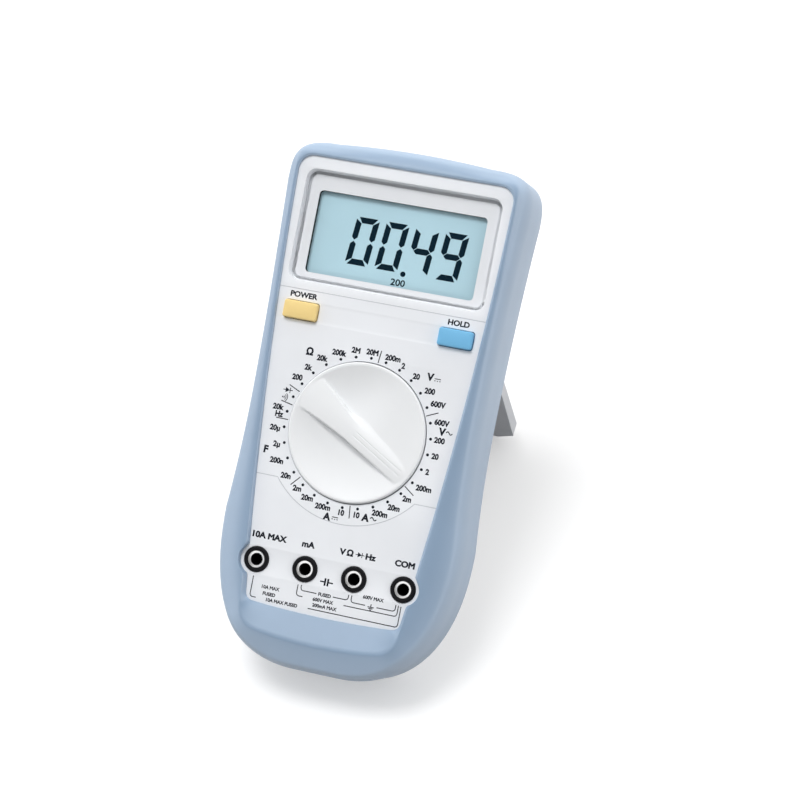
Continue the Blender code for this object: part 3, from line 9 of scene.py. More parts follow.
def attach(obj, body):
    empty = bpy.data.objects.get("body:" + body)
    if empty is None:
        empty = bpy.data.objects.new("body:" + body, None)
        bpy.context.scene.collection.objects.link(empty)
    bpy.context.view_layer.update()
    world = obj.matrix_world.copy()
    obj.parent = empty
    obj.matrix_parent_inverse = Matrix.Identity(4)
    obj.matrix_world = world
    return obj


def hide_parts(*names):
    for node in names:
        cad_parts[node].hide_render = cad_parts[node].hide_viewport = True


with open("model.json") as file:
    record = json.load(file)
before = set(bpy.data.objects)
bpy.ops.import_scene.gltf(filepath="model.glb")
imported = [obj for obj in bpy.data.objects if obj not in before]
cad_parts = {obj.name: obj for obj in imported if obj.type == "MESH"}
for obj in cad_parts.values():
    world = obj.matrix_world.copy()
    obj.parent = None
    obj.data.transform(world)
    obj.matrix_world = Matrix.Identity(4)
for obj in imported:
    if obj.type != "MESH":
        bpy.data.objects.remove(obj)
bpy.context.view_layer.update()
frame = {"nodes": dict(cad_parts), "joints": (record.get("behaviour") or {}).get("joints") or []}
scene = bpy.context.scene


# Front case
# The moulded upper housing: a pale face panel with a display pocket, a round well for the dial
# and holes for keys and sockets. The meter leans back on its stand, so every piece is drawn flat on the
# face (X right, Y up the face, Z out of it, from the dial's centre) and FACE stands it in the frame.
MM = 0.001
dial_axle = next(joint for joint in frame["joints"] if joint["name"] == "dial_turn")
LEAN = math.atan2(-dial_axle["axis"][1], dial_axle["axis"][2])
FACE = Matrix.Translation(dial_axle["pos_m"]) @ Matrix.Rotation(LEAN, 4, "X")
WELD = 0.002 * MM

BOOT_TOP, BOOT_BOTTOM = 106.3 * MM, -90.7 * MM
BOOT_TOP_HALF, BOOT_WAIST_HALF, BOOT_LOW_HALF = 47.0 * MM, 44.6 * MM, 46.6 * MM
BOOT_WAIST_Y, BOOT_LOW_Y = 8.0 * MM, -36.0 * MM
BOOT_ARCH = 1.2 * MM
BOOT_CORNER = (17.5 * MM, 16.5 * MM)
BOOT_CORNER_POWER = 3.0
BOOT_FLAT = 8.0 * MM
BOOT_LOW_POWER = 2.35
WINDOW_TOP, WINDOW_LOW = 98.5 * MM, -69.3 * MM
WINDOW_TOP_HALF, WINDOW_LOW_HALF = 41.6 * MM, 29.7 * MM
WINDOW_BOW, WINDOW_SAG = 0.76, 1.2 * MM
WINDOW_CORNERS = (5.5 * MM, 3.0 * MM)
SOCKET_PITCH, SOCKET_Y = 19.0 * MM, -53.0 * MM
SCALLOP = 6.15 * MM
PANEL_SEAT = 0.4 * MM
PANEL_THICK, PANEL_EDGE = 2.2 * MM, 0.2 * MM
CASE_WALL = 2.0 * MM
POCKET_HALF, POCKET_MIDDLE, POCKET_TALL = 37.9 * MM, 72.8 * MM, 42.0 * MM
POCKET_CORNER, POCKET_SLOPE, POCKET_DEEP = 4.0 * MM, 0.25 * MM, 1.7 * MM
LENS_BACK, LEDGE, LEDGE_BACK = -2.95 * MM, 1.4 * MM, -4.6 * MM
WELL_RADIUS, WELL_FLOOR, WELL_BACK, HUB_HOLE = 26.45 * MM, -4.2 * MM, -5.6 * MM, 5.4 * MM
KEY_X, KEY_Y, KEY_GAP = 30.0 * MM, 40.7 * MM, 0.25 * MM
KEY_WIDE, KEY_TALL, KEY_CORNER = 13.0 * MM, 6.6 * MM, 0.9 * MM
COLLAR_RADIUS, COLLAR_GAP = 4.75 * MM, 0.1 * MM
socket_places = [((i - 1.5) * SOCKET_PITCH, SOCKET_Y) for i in range(4)]


def rounded_shape(corners, radii, steps=8):
    """An outline with each corner replaced by an arc of its own radius, or kept where that is 0."""
    points = []
    for i, (corner, radius) in enumerate(zip(corners, radii)):
        here = Vector(corner)
        if radius == 0:
            points.append(here)
            continue
        back = (Vector(corners[i - 1]) - here).normalized()
        ahead = (Vector(corners[(i + 1) % len(corners)]) - here).normalized()
        half = back.angle(ahead) / 2
        centre = here + (back + ahead).normalized() * (radius / math.sin(half))
        first = here + back * (radius / math.tan(half)) - centre
        last = here + ahead * (radius / math.tan(half)) - centre
        turn = first.angle_signed(last)
        for step in range(steps + 1):
            arm = first.copy()
            arm.rotate(Matrix.Rotation(-turn * step / steps, 2))
            points.append(centre + arm)
    return points


def oblong(half_wide, low, high, radius, x=0.0, steps=8):
    corners = [(x - half_wide, low), (x + half_wide, low), (x + half_wide, high), (x - half_wide, high)]
    return rounded_shape(corners, [radius] * 4, steps)


def ring(radius, centre=(0.0, 0.0), steps=64):
    turns = [2 * math.pi * i / steps for i in range(steps)]
    return [Vector((centre[0] + radius * math.cos(t), centre[1] + radius * math.sin(t))) for t in turns]


def boot_side(y):
    """Half the boot's width: a waist that opens towards the top and towards the grip."""
    if y > BOOT_WAIST_Y:
        share = (y - BOOT_WAIST_Y) / (BOOT_TOP - BOOT_ARCH - BOOT_CORNER[1] - BOOT_WAIST_Y)
        return BOOT_WAIST_HALF + (BOOT_TOP_HALF - BOOT_WAIST_HALF) * share ** 2
    share = (BOOT_WAIST_Y - y) / (BOOT_WAIST_Y - BOOT_LOW_Y)
    return BOOT_WAIST_HALF + (BOOT_LOW_HALF - BOOT_WAIST_HALF) * share ** 2


def boot_outline(top_steps, corner_steps, side_steps, low_steps):
    """The boot's outer outline, clockwise from the top middle."""
    corner_x = BOOT_TOP_HALF - BOOT_CORNER[0]
    corner_y = BOOT_TOP - BOOT_ARCH - BOOT_CORNER[1]
    half = []
    for i in range(top_steps):
        share = i / top_steps
        half.append((corner_x * share, BOOT_TOP - BOOT_ARCH * share ** 2))
    for i in range(corner_steps):
        turn = math.pi / 2 * i / corner_steps
        half.append((corner_x + BOOT_CORNER[0] * math.sin(turn) ** (2 / BOOT_CORNER_POWER),
                     corner_y + BOOT_CORNER[1] * math.cos(turn) ** (2 / BOOT_CORNER_POWER)))
    for i in range(side_steps):
        y = corner_y + (BOOT_LOW_Y - corner_y) * i / side_steps
        half.append((boot_side(y), y))
    for i in range(low_steps + 1):
        turn = math.pi / 2 * i / low_steps
        across = max(math.cos(turn), 0.0) ** (2 / BOOT_LOW_POWER)
        down = math.sin(turn) ** (2 / BOOT_LOW_POWER)
        half.append((BOOT_FLAT + (BOOT_LOW_HALF - BOOT_FLAT) * across,
                     BOOT_LOW_Y + (BOOT_BOTTOM - BOOT_LOW_Y) * down))
    points = half + [(0.0, BOOT_BOTTOM)] + [(-x, y) for x, y in reversed(half[1:])]
    return [Vector(point) for point in points]


OUTLINE = boot_outline(top_steps=14, corner_steps=18, side_steps=48, low_steps=50)
WINDOW_SIDE_STEPS, WINDOW_LOW_STEPS = 24, 12


def window_side(y):
    """Half the window's width: it narrows slowly below the top, then faster towards the chin."""
    share = (WINDOW_TOP - y) / (WINDOW_TOP - WINDOW_LOW)
    narrowing = WINDOW_TOP_HALF - WINDOW_LOW_HALF
    return WINDOW_TOP_HALF - narrowing * ((1 - WINDOW_BOW) + WINDOW_BOW * share) * share


def window_path(top_grow, low_grow, low, low_corner, sag):
    """The boot's window, grown by a margin: bowed sides and a shallow arc along its bottom."""
    wide, top = WINDOW_TOP_HALF + top_grow, WINDOW_TOP + top_grow
    narrow = window_side(low) + low_grow
    side = []
    for i in range(2, WINDOW_SIDE_STEPS - 1):
        share = i / WINDOW_SIDE_STEPS
        y = WINDOW_TOP + (low - WINDOW_TOP) * share
        side.append((window_side(y) + top_grow + (low_grow - top_grow) * share, y))
    last = WINDOW_LOW_STEPS - 3
    marks = [1.0] + [k / WINDOW_LOW_STEPS for k in range(last, -last - 1, -1)] + [-1.0]
    bottom = [(narrow * mark, low + sag * mark ** 2) for mark in marks]
    corners = [(-wide, top), (wide, top)] + side + bottom + [(-x, y) for x, y in reversed(side)]
    upper, plain = WINDOW_CORNERS[0] + top_grow, [0] * len(side)
    radii = [upper, upper] + plain + [low_corner] + [0] * (len(bottom) - 2) + [low_corner] + plain
    return rounded_shape(corners, radii)


def way_out(path, start, towards):
    """How far a ray from inside a closed path goes before it leaves it, as a share of its length."""
    heading = towards - start
    reach = 0.0
    for i, point in enumerate(path):
        edge = point - path[i - 1]
        cross = heading.x * edge.y - heading.y * edge.x
        if abs(cross) < 1e-14:
            continue
        gap = path[i - 1] - start
        share = (gap.x * heading.y - gap.y * heading.x) / cross
        if -1e-9 <= share <= 1 + 1e-9:
            reach = max(reach, (gap.x * edge.y - gap.y * edge.x) / cross)
    return reach


SPINE = [Vector((0.0, min(max(point.y, BOOT_BOTTOM + BOOT_LOW_HALF), BOOT_TOP - BOOT_TOP_HALF)))
         for point in OUTLINE]
window_loops = [window_path(0.0, 0.0, WINDOW_LOW, WINDOW_CORNERS[1], WINDOW_SAG)]
window_loops += [ring(SCALLOP, socket_places[0]), ring(SCALLOP, socket_places[-1])]
WINDOW = []
for start, point in zip(SPINE, OUTLINE):
    WINDOW.append(start + (point - start) * max(way_out(loop, start, point) for loop in window_loops))


def tidied(mesh, crease=35.0):
    """Welds a mesh, turns its faces outwards and shades it smooth except across creases."""
    shape = bmesh.new()
    shape.from_mesh(mesh)
    bmesh.ops.remove_doubles(shape, verts=shape.verts, dist=WELD)
    bmesh.ops.dissolve_degenerate(shape, edges=shape.edges, dist=WELD)
    bmesh.ops.recalc_face_normals(shape, faces=shape.faces)
    shape.to_mesh(mesh)
    shape.free()
    mesh.shade_smooth()
    mesh.set_sharp_from_angle(angle=math.radians(crease))
    return mesh


def loft(rings, closed=True, crease=35.0):
    """Faces between equal rings of points, joined end to end or capped at both ends."""
    count = len(rings[0])
    faces = []
    for i in range(len(rings) if closed else len(rings) - 1):
        here, there = i * count, (i + 1) % len(rings) * count
        faces += [(here + j, here + (j + 1) % count, there + (j + 1) % count, there + j)
                  for j in range(count)]
    if not closed:
        faces += [tuple(range(count)), tuple(range(len(rings) * count - count, len(rings) * count))]
    mesh = bpy.data.meshes.new("loft")
    mesh.from_pydata([point for ring_points in rings for point in ring_points], [], faces)
    return tidied(mesh, crease)


def turned(profile, steps=96, crease=35.0):
    """A closed (radius, z) profile spun round Z."""
    rings = []
    for i in range(steps):
        turn = 2 * math.pi * i / steps
        rings.append([(r * math.cos(turn), r * math.sin(turn), z) for r, z in profile])
    return loft(rings, crease=crease)


def baked(data):
    """The mesh of a curve or text, which is then removed."""
    holder = bpy.data.objects.new("draft", data)
    scene.collection.objects.link(holder)
    mesh = bpy.data.meshes.new_from_object(holder.evaluated_get(bpy.context.evaluated_depsgraph_get()))
    bpy.data.objects.remove(holder)
    bpy.data.curves.remove(data)
    return mesh


def plate(outlines, low, high, edge=0.0, crease=35.0):
    """A flat outline, with holes if more are given, made into a plate with rounded edges."""
    curve = bpy.data.curves.new("plate", "CURVE")
    curve.dimensions = "2D"
    curve.fill_mode = "BOTH"
    curve.extrude = (high - low) / 2 - edge
    curve.bevel_depth = edge
    curve.bevel_resolution = 2
    curve.offset = -edge
    for outline in outlines:
        spline = curve.splines.new("POLY")
        spline.points.add(len(outline) - 1)
        for knot, (x, y) in zip(spline.points, outline):
            knot.co = (x, y, 0.0, 1.0)
        spline.use_cyclic_u = True
    mesh = baked(curve)
    mesh.transform(Matrix.Translation((0.0, 0.0, (low + high) / 2)))
    return tidied(mesh, crease)


def merged(meshes):
    """Several meshes as one."""
    shape = bmesh.new()
    for mesh in meshes:
        shape.from_mesh(mesh)
        bpy.data.meshes.remove(mesh)
    whole = bpy.data.meshes.new("merged")
    shape.to_mesh(whole)
    shape.free()
    return whole


def shading_group(name, inputs, outputs):
    """An empty shader group with named sockets, and its two end nodes."""
    group = bpy.data.node_groups.new(name, "ShaderNodeTree")
    for label, kind in inputs:
        group.interface.new_socket(label, in_out="INPUT", socket_type="NodeSocket" + kind)
    for label, kind in outputs:
        group.interface.new_socket(label, in_out="OUTPUT", socket_type="NodeSocket" + kind)
    return group, group.nodes.new("NodeGroupInput"), group.nodes.new("NodeGroupOutput")


MOULDED, inlet, outlet = shading_group(
    "moulded_grain",
    [("Colour", "Color"), ("Roughness", "Float"), ("Grain", "Float"), ("Mottle", "Float"),
     ("Spread", "Float")],
    [("Colour", "Color"), ("Roughness", "Float"), ("Height", "Float")])
nodes, links = MOULDED.nodes, MOULDED.links
place = nodes.new("ShaderNodeTexCoord")
grain = nodes.new("ShaderNodeTexNoise")
grain.inputs["Detail"].default_value = 3.0
cloud = nodes.new("ShaderNodeTexNoise")
cloud.inputs["Scale"].default_value = 70.0
cloud.inputs["Detail"].default_value = 4.0
darkest = nodes.new("ShaderNodeMath")
darkest.operation = "SUBTRACT"
darkest.inputs[0].default_value = 1.0
shade = nodes.new("ShaderNodeMapRange")
shade.inputs["From Min"].default_value = 0.3
shade.inputs["From Max"].default_value = 0.6
tint = nodes.new("ShaderNodeVectorMath")
tint.operation = "SCALE"
sheen = nodes.new("ShaderNodeMath")
sheen.operation = "MULTIPLY_ADD"
links.new(place.outputs["Object"], grain.inputs["Vector"])
links.new(place.outputs["Object"], cloud.inputs["Vector"])
links.new(inlet.outputs["Grain"], grain.inputs["Scale"])
links.new(inlet.outputs["Mottle"], darkest.inputs[1])
links.new(cloud.outputs["Fac"], shade.inputs["Value"])
links.new(darkest.outputs["Value"], shade.inputs["To Min"])
links.new(inlet.outputs["Colour"], tint.inputs[0])
links.new(shade.outputs["Result"], tint.inputs["Scale"])
links.new(grain.outputs["Fac"], sheen.inputs[0])
links.new(inlet.outputs["Spread"], sheen.inputs[1])
links.new(inlet.outputs["Roughness"], sheen.inputs[2])
links.new(tint.outputs["Vector"], outlet.inputs["Colour"])
links.new(sheen.outputs["Value"], outlet.inputs["Roughness"])
links.new(grain.outputs["Fac"], outlet.inputs["Height"])


def moulded(name, colour, roughness, grain=2500.0, relief=0.012, mottle=0.05, spread=0.12, metallic=0.0,
            specular=0.5, index=1.5):
    """A moulded, cast or plated finish: even colour with faint clouds, and a fine grain in its skin."""
    material = bpy.data.materials.new(name)
    material.use_nodes = True
    tree = material.node_tree
    shader = tree.nodes["Principled BSDF"]
    shader.inputs["Metallic"].default_value = metallic
    shader.inputs["Specular IOR Level"].default_value = specular
    shader.inputs["IOR"].default_value = index
    skin = tree.nodes.new("ShaderNodeGroup")
    skin.node_tree = MOULDED
    skin.inputs["Colour"].default_value = (*colour, 1.0)
    skin.inputs["Roughness"].default_value = roughness
    skin.inputs["Grain"].default_value = grain
    skin.inputs["Mottle"].default_value = mottle
    skin.inputs["Spread"].default_value = spread
    bump = tree.nodes.new("ShaderNodeBump")
    bump.inputs["Strength"].default_value = 0.5
    bump.inputs["Distance"].default_value = relief * MM
    tree.links.new(skin.outputs["Colour"], shader.inputs["Base Color"])
    tree.links.new(skin.outputs["Roughness"], shader.inputs["Roughness"])
    tree.links.new(skin.outputs["Height"], bump.inputs["Height"])
    tree.links.new(bump.outputs["Normal"], shader.inputs["Normal"])
    material.diffuse_color = (*colour, 1.0)
    return material


def on_face(name, mesh, material, body, slot, *nodes):
    """A drawn piece set on the face, moving with its body in place of its CAD nodes."""
    mesh.name = name
    mesh.transform(FACE)
    mesh.materials.clear()
    mesh.materials.append(material)
    piece = bpy.data.objects.new(name, mesh)
    scene.collection.objects.link(piece)
    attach(piece, body)
    if nodes:
        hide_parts(*nodes)
    return piece


CASE = moulded("panel_plastic", (0.90, 0.92, 0.955), 0.42, grain=3200.0, mottle=0.02)
panel = [edge + (point - edge).normalized() * PANEL_SEAT for edge, point in zip(WINDOW, OUTLINE)]
pocket_low, pocket_high = POCKET_MIDDLE - POCKET_TALL / 2, POCKET_MIDDLE + POCKET_TALL / 2
key_low, key_high = KEY_Y - KEY_TALL / 2, KEY_Y + KEY_TALL / 2
holes = [oblong(POCKET_HALF, pocket_low, pocket_high, POCKET_CORNER), ring(WELL_RADIUS, steps=128)]
for side in (-1, 1):
    holes.append(oblong(KEY_WIDE / 2 + KEY_GAP, key_low - KEY_GAP, key_high + KEY_GAP,
                        KEY_CORNER + KEY_GAP, side * KEY_X))
holes += [ring(COLLAR_RADIUS + COLLAR_GAP, place) for place in socket_places]
case_parts = [plate([panel] + holes, -PANEL_THICK, 0.0, PANEL_EDGE, crease=20.0)]


def pocket_ring(shrink, z):
    return [(x, y, z) for x, y in oblong(POCKET_HALF - shrink, pocket_low + shrink, pocket_high - shrink,
                                         max(POCKET_CORNER - shrink, MM))]


case_parts.append(loft([
    pocket_ring(-PANEL_EDGE, -PANEL_THICK), pocket_ring(0.0, -PANEL_EDGE),
    pocket_ring(POCKET_SLOPE, -POCKET_DEEP), pocket_ring(POCKET_SLOPE, LENS_BACK),
    pocket_ring(POCKET_SLOPE + LEDGE, LENS_BACK), pocket_ring(POCKET_SLOPE + LEDGE, LEDGE_BACK),
    pocket_ring(-PANEL_EDGE, LEDGE_BACK)], crease=20.0))
case_parts.append(turned([
    (WELL_RADIUS, -PANEL_EDGE), (WELL_RADIUS, WELL_FLOOR), (HUB_HOLE, WELL_FLOOR), (HUB_HOLE, WELL_BACK),
    (WELL_RADIUS + CASE_WALL, WELL_BACK), (WELL_RADIUS + CASE_WALL, -PANEL_THICK),
    (WELL_RADIUS + PANEL_EDGE, -PANEL_EDGE)], steps=128))
on_face("front_case", merged(case_parts), CASE, "root", "case_plastic", "front_case")


# Printed face
# The scale round the dial, the words by keys and sockets and the thin lines that join the sockets are
# pad-printed in dark ink on the panel, a few hundredths of a millimetre thick.
INK_THICK, INK_SINK = 0.03 * MM, 0.01 * MM
DIGIT_TALL, MARK_TALL = 2.25 * MM, 2.9 * MM
FONT_CAP = 0.69
BOLD = 0.052
DOT_CIRCLE, DOT_RADIUS = 28.0 * MM, 0.55 * MM
PLACES = 30
SPLIT_FROM, SPLIT_TO = 26.9 * MM, 31.6 * MM
LINE_WIDE, BAR_LINE, WAVE_LINE, FINE_LINE = 0.36 * MM, 0.34 * MM, 0.4 * MM, 0.28 * MM
# Width of the grey lines that paint the shade along the panel's steps.
STEP_SHADE_WIDE = 0.3 * MM
INK = moulded("panel_ink", (0.012, 0.015, 0.024), 0.6, grain=4000.0, relief=0.004, mottle=0.15,
              specular=0.2)


def raised(mesh, height=INK_THICK):
    """Ink of one thickness, just let into the panel."""
    mesh.transform(Matrix.Translation((0.0, 0.0, height / 2 - INK_SINK)))
    return mesh


def words(text, x, y, tall, weight=BOLD, stretch=1.0):
    """A line of print centred on a place."""
    font = bpy.data.curves.new("words", "FONT")
    font.body = text
    font.bevel_depth = weight
    font.bevel_resolution = 0
    font.resolution_u = 4
    mesh = baked(font)
    size = tall / (FONT_CAP + 2 * weight)
    across = [vertex.co.x for vertex in mesh.vertices]
    mesh.transform(Matrix.Translation((-(min(across) + max(across)) / 2, -FONT_CAP / 2, 0.0)))
    mesh.transform(Matrix.Diagonal((size * stretch, size, INK_THICK / (2 * weight), 1.0)))
    mesh.transform(Matrix.Translation((x, y, 0.0)))
    return raised(mesh)


def stroke(points, wide, closed=False, height=INK_THICK):
    """A printed line of even width along points."""
    curve = bpy.data.curves.new("stroke", "CURVE")
    curve.dimensions = "3D"
    curve.bevel_depth = wide / 2
    curve.bevel_resolution = 1
    curve.use_fill_caps = True
    spline = curve.splines.new("POLY")
    spline.points.add(len(points) - 1)
    for knot, (x, y) in zip(spline.points, points):
        knot.co = (x, y, 0.0, 1.0)
    spline.use_cyclic_u = closed
    mesh = baked(curve)
    mesh.transform(Matrix.Diagonal((1.0, 1.0, height / wide, 1.0)))
    return raised(mesh, height)


def area(outline):
    return raised(plate([outline], -INK_THICK / 2, INK_THICK / 2))


def polar(radius, degrees):
    return Vector((radius * math.cos(math.radians(degrees)), radius * math.sin(math.radians(degrees))))


def direct_mark(x, y, half=1.2 * MM):
    """A full bar over three short ones."""
    over, under, short = y + 0.35 * MM, y - 0.4 * MM, half * 0.2
    drawn = [stroke([(x - half, over), (x + half, over)], BAR_LINE)]
    for k in (-1, 0, 1):
        middle = x + k * half * 0.8
        drawn.append(stroke([(middle - short, under), (middle + short, under)], BAR_LINE))
    return drawn


def wave_mark(x, y, half=1.2 * MM):
    """One period of a sine wave."""
    points = [(x + half * (i / 6 - 1), y + 0.5 * MM * math.sin(math.pi * i / 6)) for i in range(13)]
    return [stroke(points, WAVE_LINE)]


def diode_mark(x, y, size=1.0 * MM):
    """A filled arrowhead against a bar, on a line."""
    back, tip, bar, lead = x - size * 0.9, x + size * 0.7, x + size * 0.85, size * 1.8
    drawn = [area([Vector((back, y - size)), Vector((tip, y)), Vector((back, y + size))])]
    drawn.append(stroke([(bar, y - size), (bar, y + size)], 0.3 * MM))
    drawn.append(stroke([(x - lead, y), (x + lead, y)], FINE_LINE))
    return drawn


def buzzer_mark(x, y, size=0.9 * MM):
    """A source and the arcs of sound that leave it."""
    drawn = [area(ring(size * 0.32, (x - size * 1.6, y), 16))]
    for k in (0.7, 1.4, 2.1):
        arc = [Vector((x - size * 1.6, y)) + polar(size * k, a) for a in range(-48, 49, 12)]
        drawn.append(stroke(arc, FINE_LINE))
    return drawn


dial_words = [
    ("20M", 0.0, 30.25), ("200m", 8.1, 29.5), ("2", 12.5, 27.4), ("20", 18.1, 24.5), ("200", 24.15, 20.1),
    ("600V", 28.2, 15.85), ("600V", 30.9, 9.5), ("200", 31.25, 3.0), ("20", 30.75, -3.0), ("2", 29.0, -9.1),
    ("200m", 28.85, -15.35), ("2m", 23.4, -20.25), ("20m", 19.2, -24.4), ("200m", 14.4, -27.5),
    ("10", 5.9, -29.65), ("10", 0.0, -29.9), ("200m", -7.4, -29.1), ("20m", -13.9, -27.0),
    ("2m", -18.4, -24.3), ("20n", -23.6, -20.5), ("200n", -28.2, -15.6), ("2µ", -29.4, -9.6),
    ("20µ", -31.25, -3.75), ("20k", -31.5, 4.1), ("Hz", -30.65, 1.5), ("200", -26.5, 16.15),
    ("2k", -23.0, 20.5), ("20k", -18.4, 24.75), ("200k", -12.4, 27.9), ("2M", -6.3, 29.9)]
scale = [words(text, x * MM, y * MM, DIGIT_TALL, stretch=0.92) for text, x, y in dial_words]
dial_marks = [("Ω", -23.65, 26.35), ("V", 23.35, 25.25), ("V", 31.6, 6.35), ("A", 9.35, -29.9),
              ("A", -5.15, -32.3), ("F", -33.1, -12.2)]
scale += [words(text, x * MM, y * MM, MARK_TALL) for text, x, y in dial_marks]
for mark, x, y in ((direct_mark, 26.2, 24.6), (wave_mark, 34.3, 6.25), (wave_mark, 12.4, -29.9),
                   (direct_mark, -2.0, -32.4), (diode_mark, -29.1, 10.8), (buzzer_mark, -29.2, 8.0)):
    scale += mark(x * MM, y * MM)
scale += [area(ring(DOT_RADIUS, polar(DOT_CIRCLE, 90 - 360 / PLACES * k), 20)) for k in range(PLACES)]
SPLITS = (84, 24, -36, -84, 228, 180, 168, 156)
for degrees in SPLITS:
    scale.append(stroke([polar(SPLIT_FROM, degrees), polar(SPLIT_TO, degrees)], LINE_WIDE))
on_face("dial_scale_print", merged(scale), INK, "root", "black_plastic")

KEY_WORD_TALL, KEY_WORD_WEIGHT, KEY_WORD_STRETCH = 2.15 * MM, BOLD * 0.8, 1.08
key_words = [words(text, x, y * MM, KEY_WORD_TALL, KEY_WORD_WEIGHT, KEY_WORD_STRETCH)
             for text, x, y in (("POWER", -KEY_X, 46.5), ("HOLD", KEY_X, 46.4))]
on_face("key_print", merged(key_words), INK, "root", "black_plastic")


def bracket(left, right, start, low, gap_from, gap_to, corner=0.9):
    """A line from one socket under the row to another, in millimetres, open where a word stands."""
    drawn = []
    for side, gap in ((left, gap_from), (right, gap_to)):
        turn = math.copysign(corner, gap - side)
        path = [(side, start), (side, low + corner), (side + turn * 0.3, low + corner * 0.3),
                (side + turn, low), (gap, low)]
        drawn.append(stroke([(x * MM, y * MM) for x, y in path], LINE_WIDE))
    return drawn


SOCKET_WORD_Y, SOCKET_WORD_TALL, SOCKET_WORD_STRETCH = -43.8 * MM, 2.4 * MM, 1.1
RATING_TALL, RATING_WEIGHT = 1.35 * MM, BOLD * 0.9
EARTH_X, EARTH_FROM, EARTH_TO = 17.8, -60.6, -61.7
PLATES_X, PLATES_Y, PLATES_HALF, PLATES_TALL, PLATES_REACH = -0.45, -56.1, 0.55, 1.4, 2.5
PLATE_LINE, WIRE_LINE = 0.7 * MM, 0.5 * MM
socket_words = [("10A MAX", -25.1), ("mA", -9.9), ("V", 3.4), ("Ω", 6.3), ("Hz", 14.3), ("COM", 27.4)]
row = [words(text, x * MM, SOCKET_WORD_Y, SOCKET_WORD_TALL, stretch=SOCKET_WORD_STRETCH)
       for text, x in socket_words]
row += diode_mark(10.1 * MM, SOCKET_WORD_Y, 0.95 * MM)
for joins in ((-9.6, 8.8, -58.9, -60.9, -3.4, 3.0), (10.0, 27.0, -58.9, -61.4, 15.6, 20.0),
              (-10.9, 28.0, -59.0, -63.1, -8.4, 7.6), (-28.4, 29.0, -59.2, -66.9, -26.0, -5.6)):
    row += bracket(*joins)
ratings = [("10A MAX", -21.0, -62.4), ("FUSED", -21.2, -64.8), ("10A MAX FUSED", -15.8, -66.9),
           ("FUSED", -0.2, -60.9), ("600V MAX", -0.4, -63.1), ("200mA MAX", 0.6, -65.2),
           ("600V MAX", 18.2, -58.4)]
row += [words(text, x * MM, y * MM, RATING_TALL, RATING_WEIGHT) for text, x, y in ratings]
row.append(stroke([(EARTH_X * MM, EARTH_FROM * MM), (EARTH_X * MM, EARTH_TO * MM)], LINE_WIDE))
for half, y in ((1.2, EARTH_TO), (0.8, EARTH_TO - 0.5), (0.35, EARTH_TO - 1.0)):
    row.append(stroke([((EARTH_X - half) * MM, y * MM), ((EARTH_X + half) * MM, y * MM)], LINE_WIDE))
for side in (-1, 1):
    at, end = (PLATES_X + side * PLATES_HALF) * MM, (PLATES_X + side * PLATES_REACH) * MM
    low, high = (PLATES_Y - PLATES_TALL) * MM, (PLATES_Y + PLATES_TALL) * MM
    row.append(stroke([(at, high), (at, low)], PLATE_LINE))
    row.append(stroke([(at, PLATES_Y * MM), (end, PLATES_Y * MM)], WIRE_LINE))
on_face("socket_print", merged(row), INK, "root", "black_plastic")

# The step in the panel under the display and the edge of the shelf round the dial are not modelled: thin
# grey lines on the flat panel paint the shade along them.
STEP_SHADE = moulded("panel_step_shade", (0.60, 0.62, 0.66), 0.5, grain=3200.0, mottle=0.03)
STEP_Y, SHELF_Y, SHELF_X, SHELF_ARC = 48.6 * MM, -21.5 * MM, 26.6 * MM, 34.2 * MM
step_half, shelf_half = window_side(STEP_Y), window_side(SHELF_Y)
arc_end = math.degrees(math.atan2(SHELF_Y, SHELF_X))
ARC_STEPS = 40
arc = [polar(SHELF_ARC, arc_end + (-180 - 2 * arc_end) * i / ARC_STEPS) for i in range(ARC_STEPS + 1)]
step_shade_lines = [stroke([(-step_half, STEP_Y), (step_half, STEP_Y)], STEP_SHADE_WIDE),
           stroke([(shelf_half, SHELF_Y)] + arc + [(-shelf_half, SHELF_Y)], STEP_SHADE_WIDE)]
on_face("panel_step_shade_lines", merged(step_shade_lines), STEP_SHADE, "root", "case_plastic")


# Display
# A clear acrylic lens over a printed pale border, a near-black gasket whose inner wall paints the shade at
# the window's edge, and the liquid-crystal glass with its digits. A moulded frame holds the glass, and two
# rubber contact strips join it to the board.
LENS_GAP, LENS_THICK = 0.25 * MM, 1.2 * MM
BORDER_THICK = 0.25 * MM
LENS_EDGE, GLASS_EDGE, GLASS_SINK = 0.15 * MM, 0.1 * MM, 0.02 * MM
VIEW_HALF, VIEW_LOW, VIEW_HIGH, VIEW_CORNER = 32.6 * MM, 55.5 * MM, 86.5 * MM, 1.6 * MM
GLASS_HALF, GLASS_MIDDLE, GLASS_TALL = 34.0 * MM, 71.0 * MM, 33.2 * MM
glass_corners = [FACE.inverted() @ vertex.co for vertex in frame["nodes"]["display_glass"].data.vertices]
GLASS_BACK = min(corner.z for corner in glass_corners)
GLASS_FRONT = -5.0 * MM
lens_half, lens_low = POCKET_HALF - POCKET_SLOPE - LENS_GAP, pocket_low + POCKET_SLOPE + LENS_GAP
lens_high = pocket_high - POCKET_SLOPE - LENS_GAP
lens_outline = oblong(lens_half, lens_low, lens_high, POCKET_CORNER - POCKET_SLOPE - LENS_GAP)
view_outline = oblong(VIEW_HALF, VIEW_LOW, VIEW_HIGH, VIEW_CORNER)

